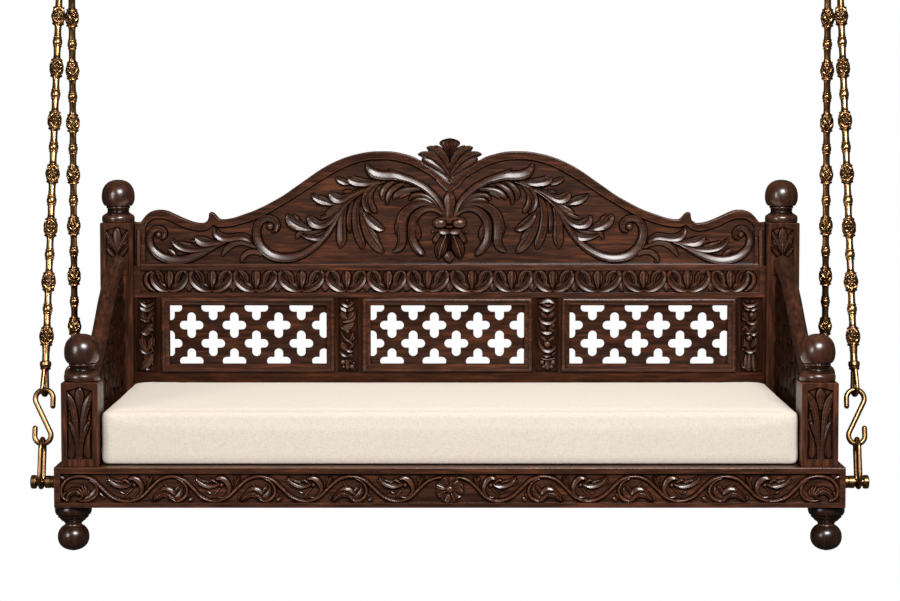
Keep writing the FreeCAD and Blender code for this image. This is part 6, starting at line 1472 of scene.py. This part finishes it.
# ------------------------------------------------------------------ finish of the pieces shown as imported
PLAIN = {
    "deck_cleats": WOOD_DECK, "cross_bearers": WOOD_Y, "seat_boards": WOOD_DECK, "end_boards": WOOD_DECK, "joint_pegs": WOOD_Y,
    "deck_screws": STEEL, "pin_washers": STEEL, "pin_nuts": STEEL, "hanger_nuts": STEEL, "eye_spacers": STEEL,
    "hanging_pins": BRASS_SMOOTH, "pin_collars": BRASS_SMOOTH, "oval_links": BRASS_SMOOTH, "s_hooks": BRASS_SMOOTH, "chain_lower_eyes": BRASS_SMOOTH, "chain_upper_eyes": BRASS,
    "left_ceiling_bracket": BRASS, "right_ceiling_bracket": BRASS, "hanger_pins": BRASS_SMOOTH,
}
for nm, ob in NODES.items():
    if ob.hide_render:
        continue
    mtl = PLAIN.get(nm, WOOD_X)
    ob.data.materials.clear()
    ob.data.materials.append(mtl)

# ------------------------------------------------------------------ floor, light, camera
def stage_plane(name, z, size):
    me = bpy.data.meshes.new(name)
    s = size
    me.from_pydata([(-s, -s, z), (s, -s, z), (s, s, z), (-s, s, z)], [], [(0, 1, 2, 3)])
    o = bpy.data.objects.new(name, me)
    bpy.context.scene.collection.objects.link(o)
    m = bpy.data.materials.new("studio_floor")
    m.use_nodes = True
    nt = m.node_tree
    nt.nodes.clear()
    out = nt.nodes.new("ShaderNodeOutputMaterial")
    em = add(nt, "Emission")
    em.inputs[0].default_value = (1, 1, 1, 1)
    em.inputs[1].default_value = 0.995
    nt.links.new(em.outputs[0], out.inputs[0])
    me.materials.append(m)
    o.visible_diffuse = False
    o.visible_glossy = False
    o.visible_shadow = False
    return o


stage_plane("floor", (-450.0 - 1312.0) / 1000.0, 30.0)

world = bpy.data.worlds.new("studio")
bpy.context.scene.world = world
world.use_nodes = True
nt = world.node_tree
nt.nodes.clear()
wo = nt.nodes.new("ShaderNodeOutputWorld")
bg_seen, bg_light = add(nt, "Background"), add(nt, "Background")
bg_seen.inputs[0].default_value = (1, 1, 1, 1)
bg_seen.inputs[1].default_value = 0.995
bg_light.inputs[0].default_value = (1.0, 0.985, 0.965, 1)
bg_light.inputs[1].default_value = 0.045
lp = nt.nodes.new("ShaderNodeLightPath")
mx_ = nt.nodes.new("ShaderNodeMixShader")
nt.links.new(lp.outputs["Is Camera Ray"], mx_.inputs[0])
nt.links.new(bg_light.outputs[0], mx_.inputs[1])
nt.links.new(bg_seen.outputs[0], mx_.inputs[2])
nt.links.new(mx_.outputs[0], wo.inputs[0])


def softbox(name, loc, target, sx, sy, power, color=(1, 1, 1)):
    ld = bpy.data.lights.new(name, "AREA")
    ld.shape = "RECTANGLE"
    ld.size, ld.size_y = sx, sy
    ld.energy = power
    ld.color = color
    o = bpy.data.objects.new(name, ld)
    bpy.context.scene.collection.objects.link(o)
    o.location = loc
    o.rotation_euler = (Vector(target) - Vector(loc)).to_track_quat("-Z", "Y").to_euler()
    o.visible_camera = False
    return o


softbox("key", (0.95, -4.30, 1.70), (0, 0, -1.0), 2.2, 1.3, 285)
softbox("fill", (-3.7, -4.4, 0.1), (0, 0, -1.0), 1.2, 2.0, 84)
top = softbox("top", (0.0, 0.2, 2.6), (0, 0.1, -1.0), 3.4, 1.2, 92)
top.visible_glossy = False

cam_d = bpy.data.cameras.new("camera")
cam = bpy.data.objects.new("camera", cam_d)
bpy.context.scene.collection.objects.link(cam)
cam.location = (0.0, (-VIEW_D - 396.0) / 1000.0, (VIEW_Z - 1312.0) / 1000.0)
cam.rotation_euler = (math.radians(90.0 - 3.1668), 0, 0)
cam_d.sensor_width = 36.0
cam_d.lens = VIEW_F / 900.0 * 36.0
cam_d.shift_x = 0.2 / 900.0
cam_d.shift_y = -54.0 / 900.0
cam_d.clip_end = 200.0
bpy.context.scene.camera = cam
vs_ = bpy.context.scene.view_settings
vs_.view_transform = "Standard"
vs_.look = "None"
vs_.exposure = 0.0
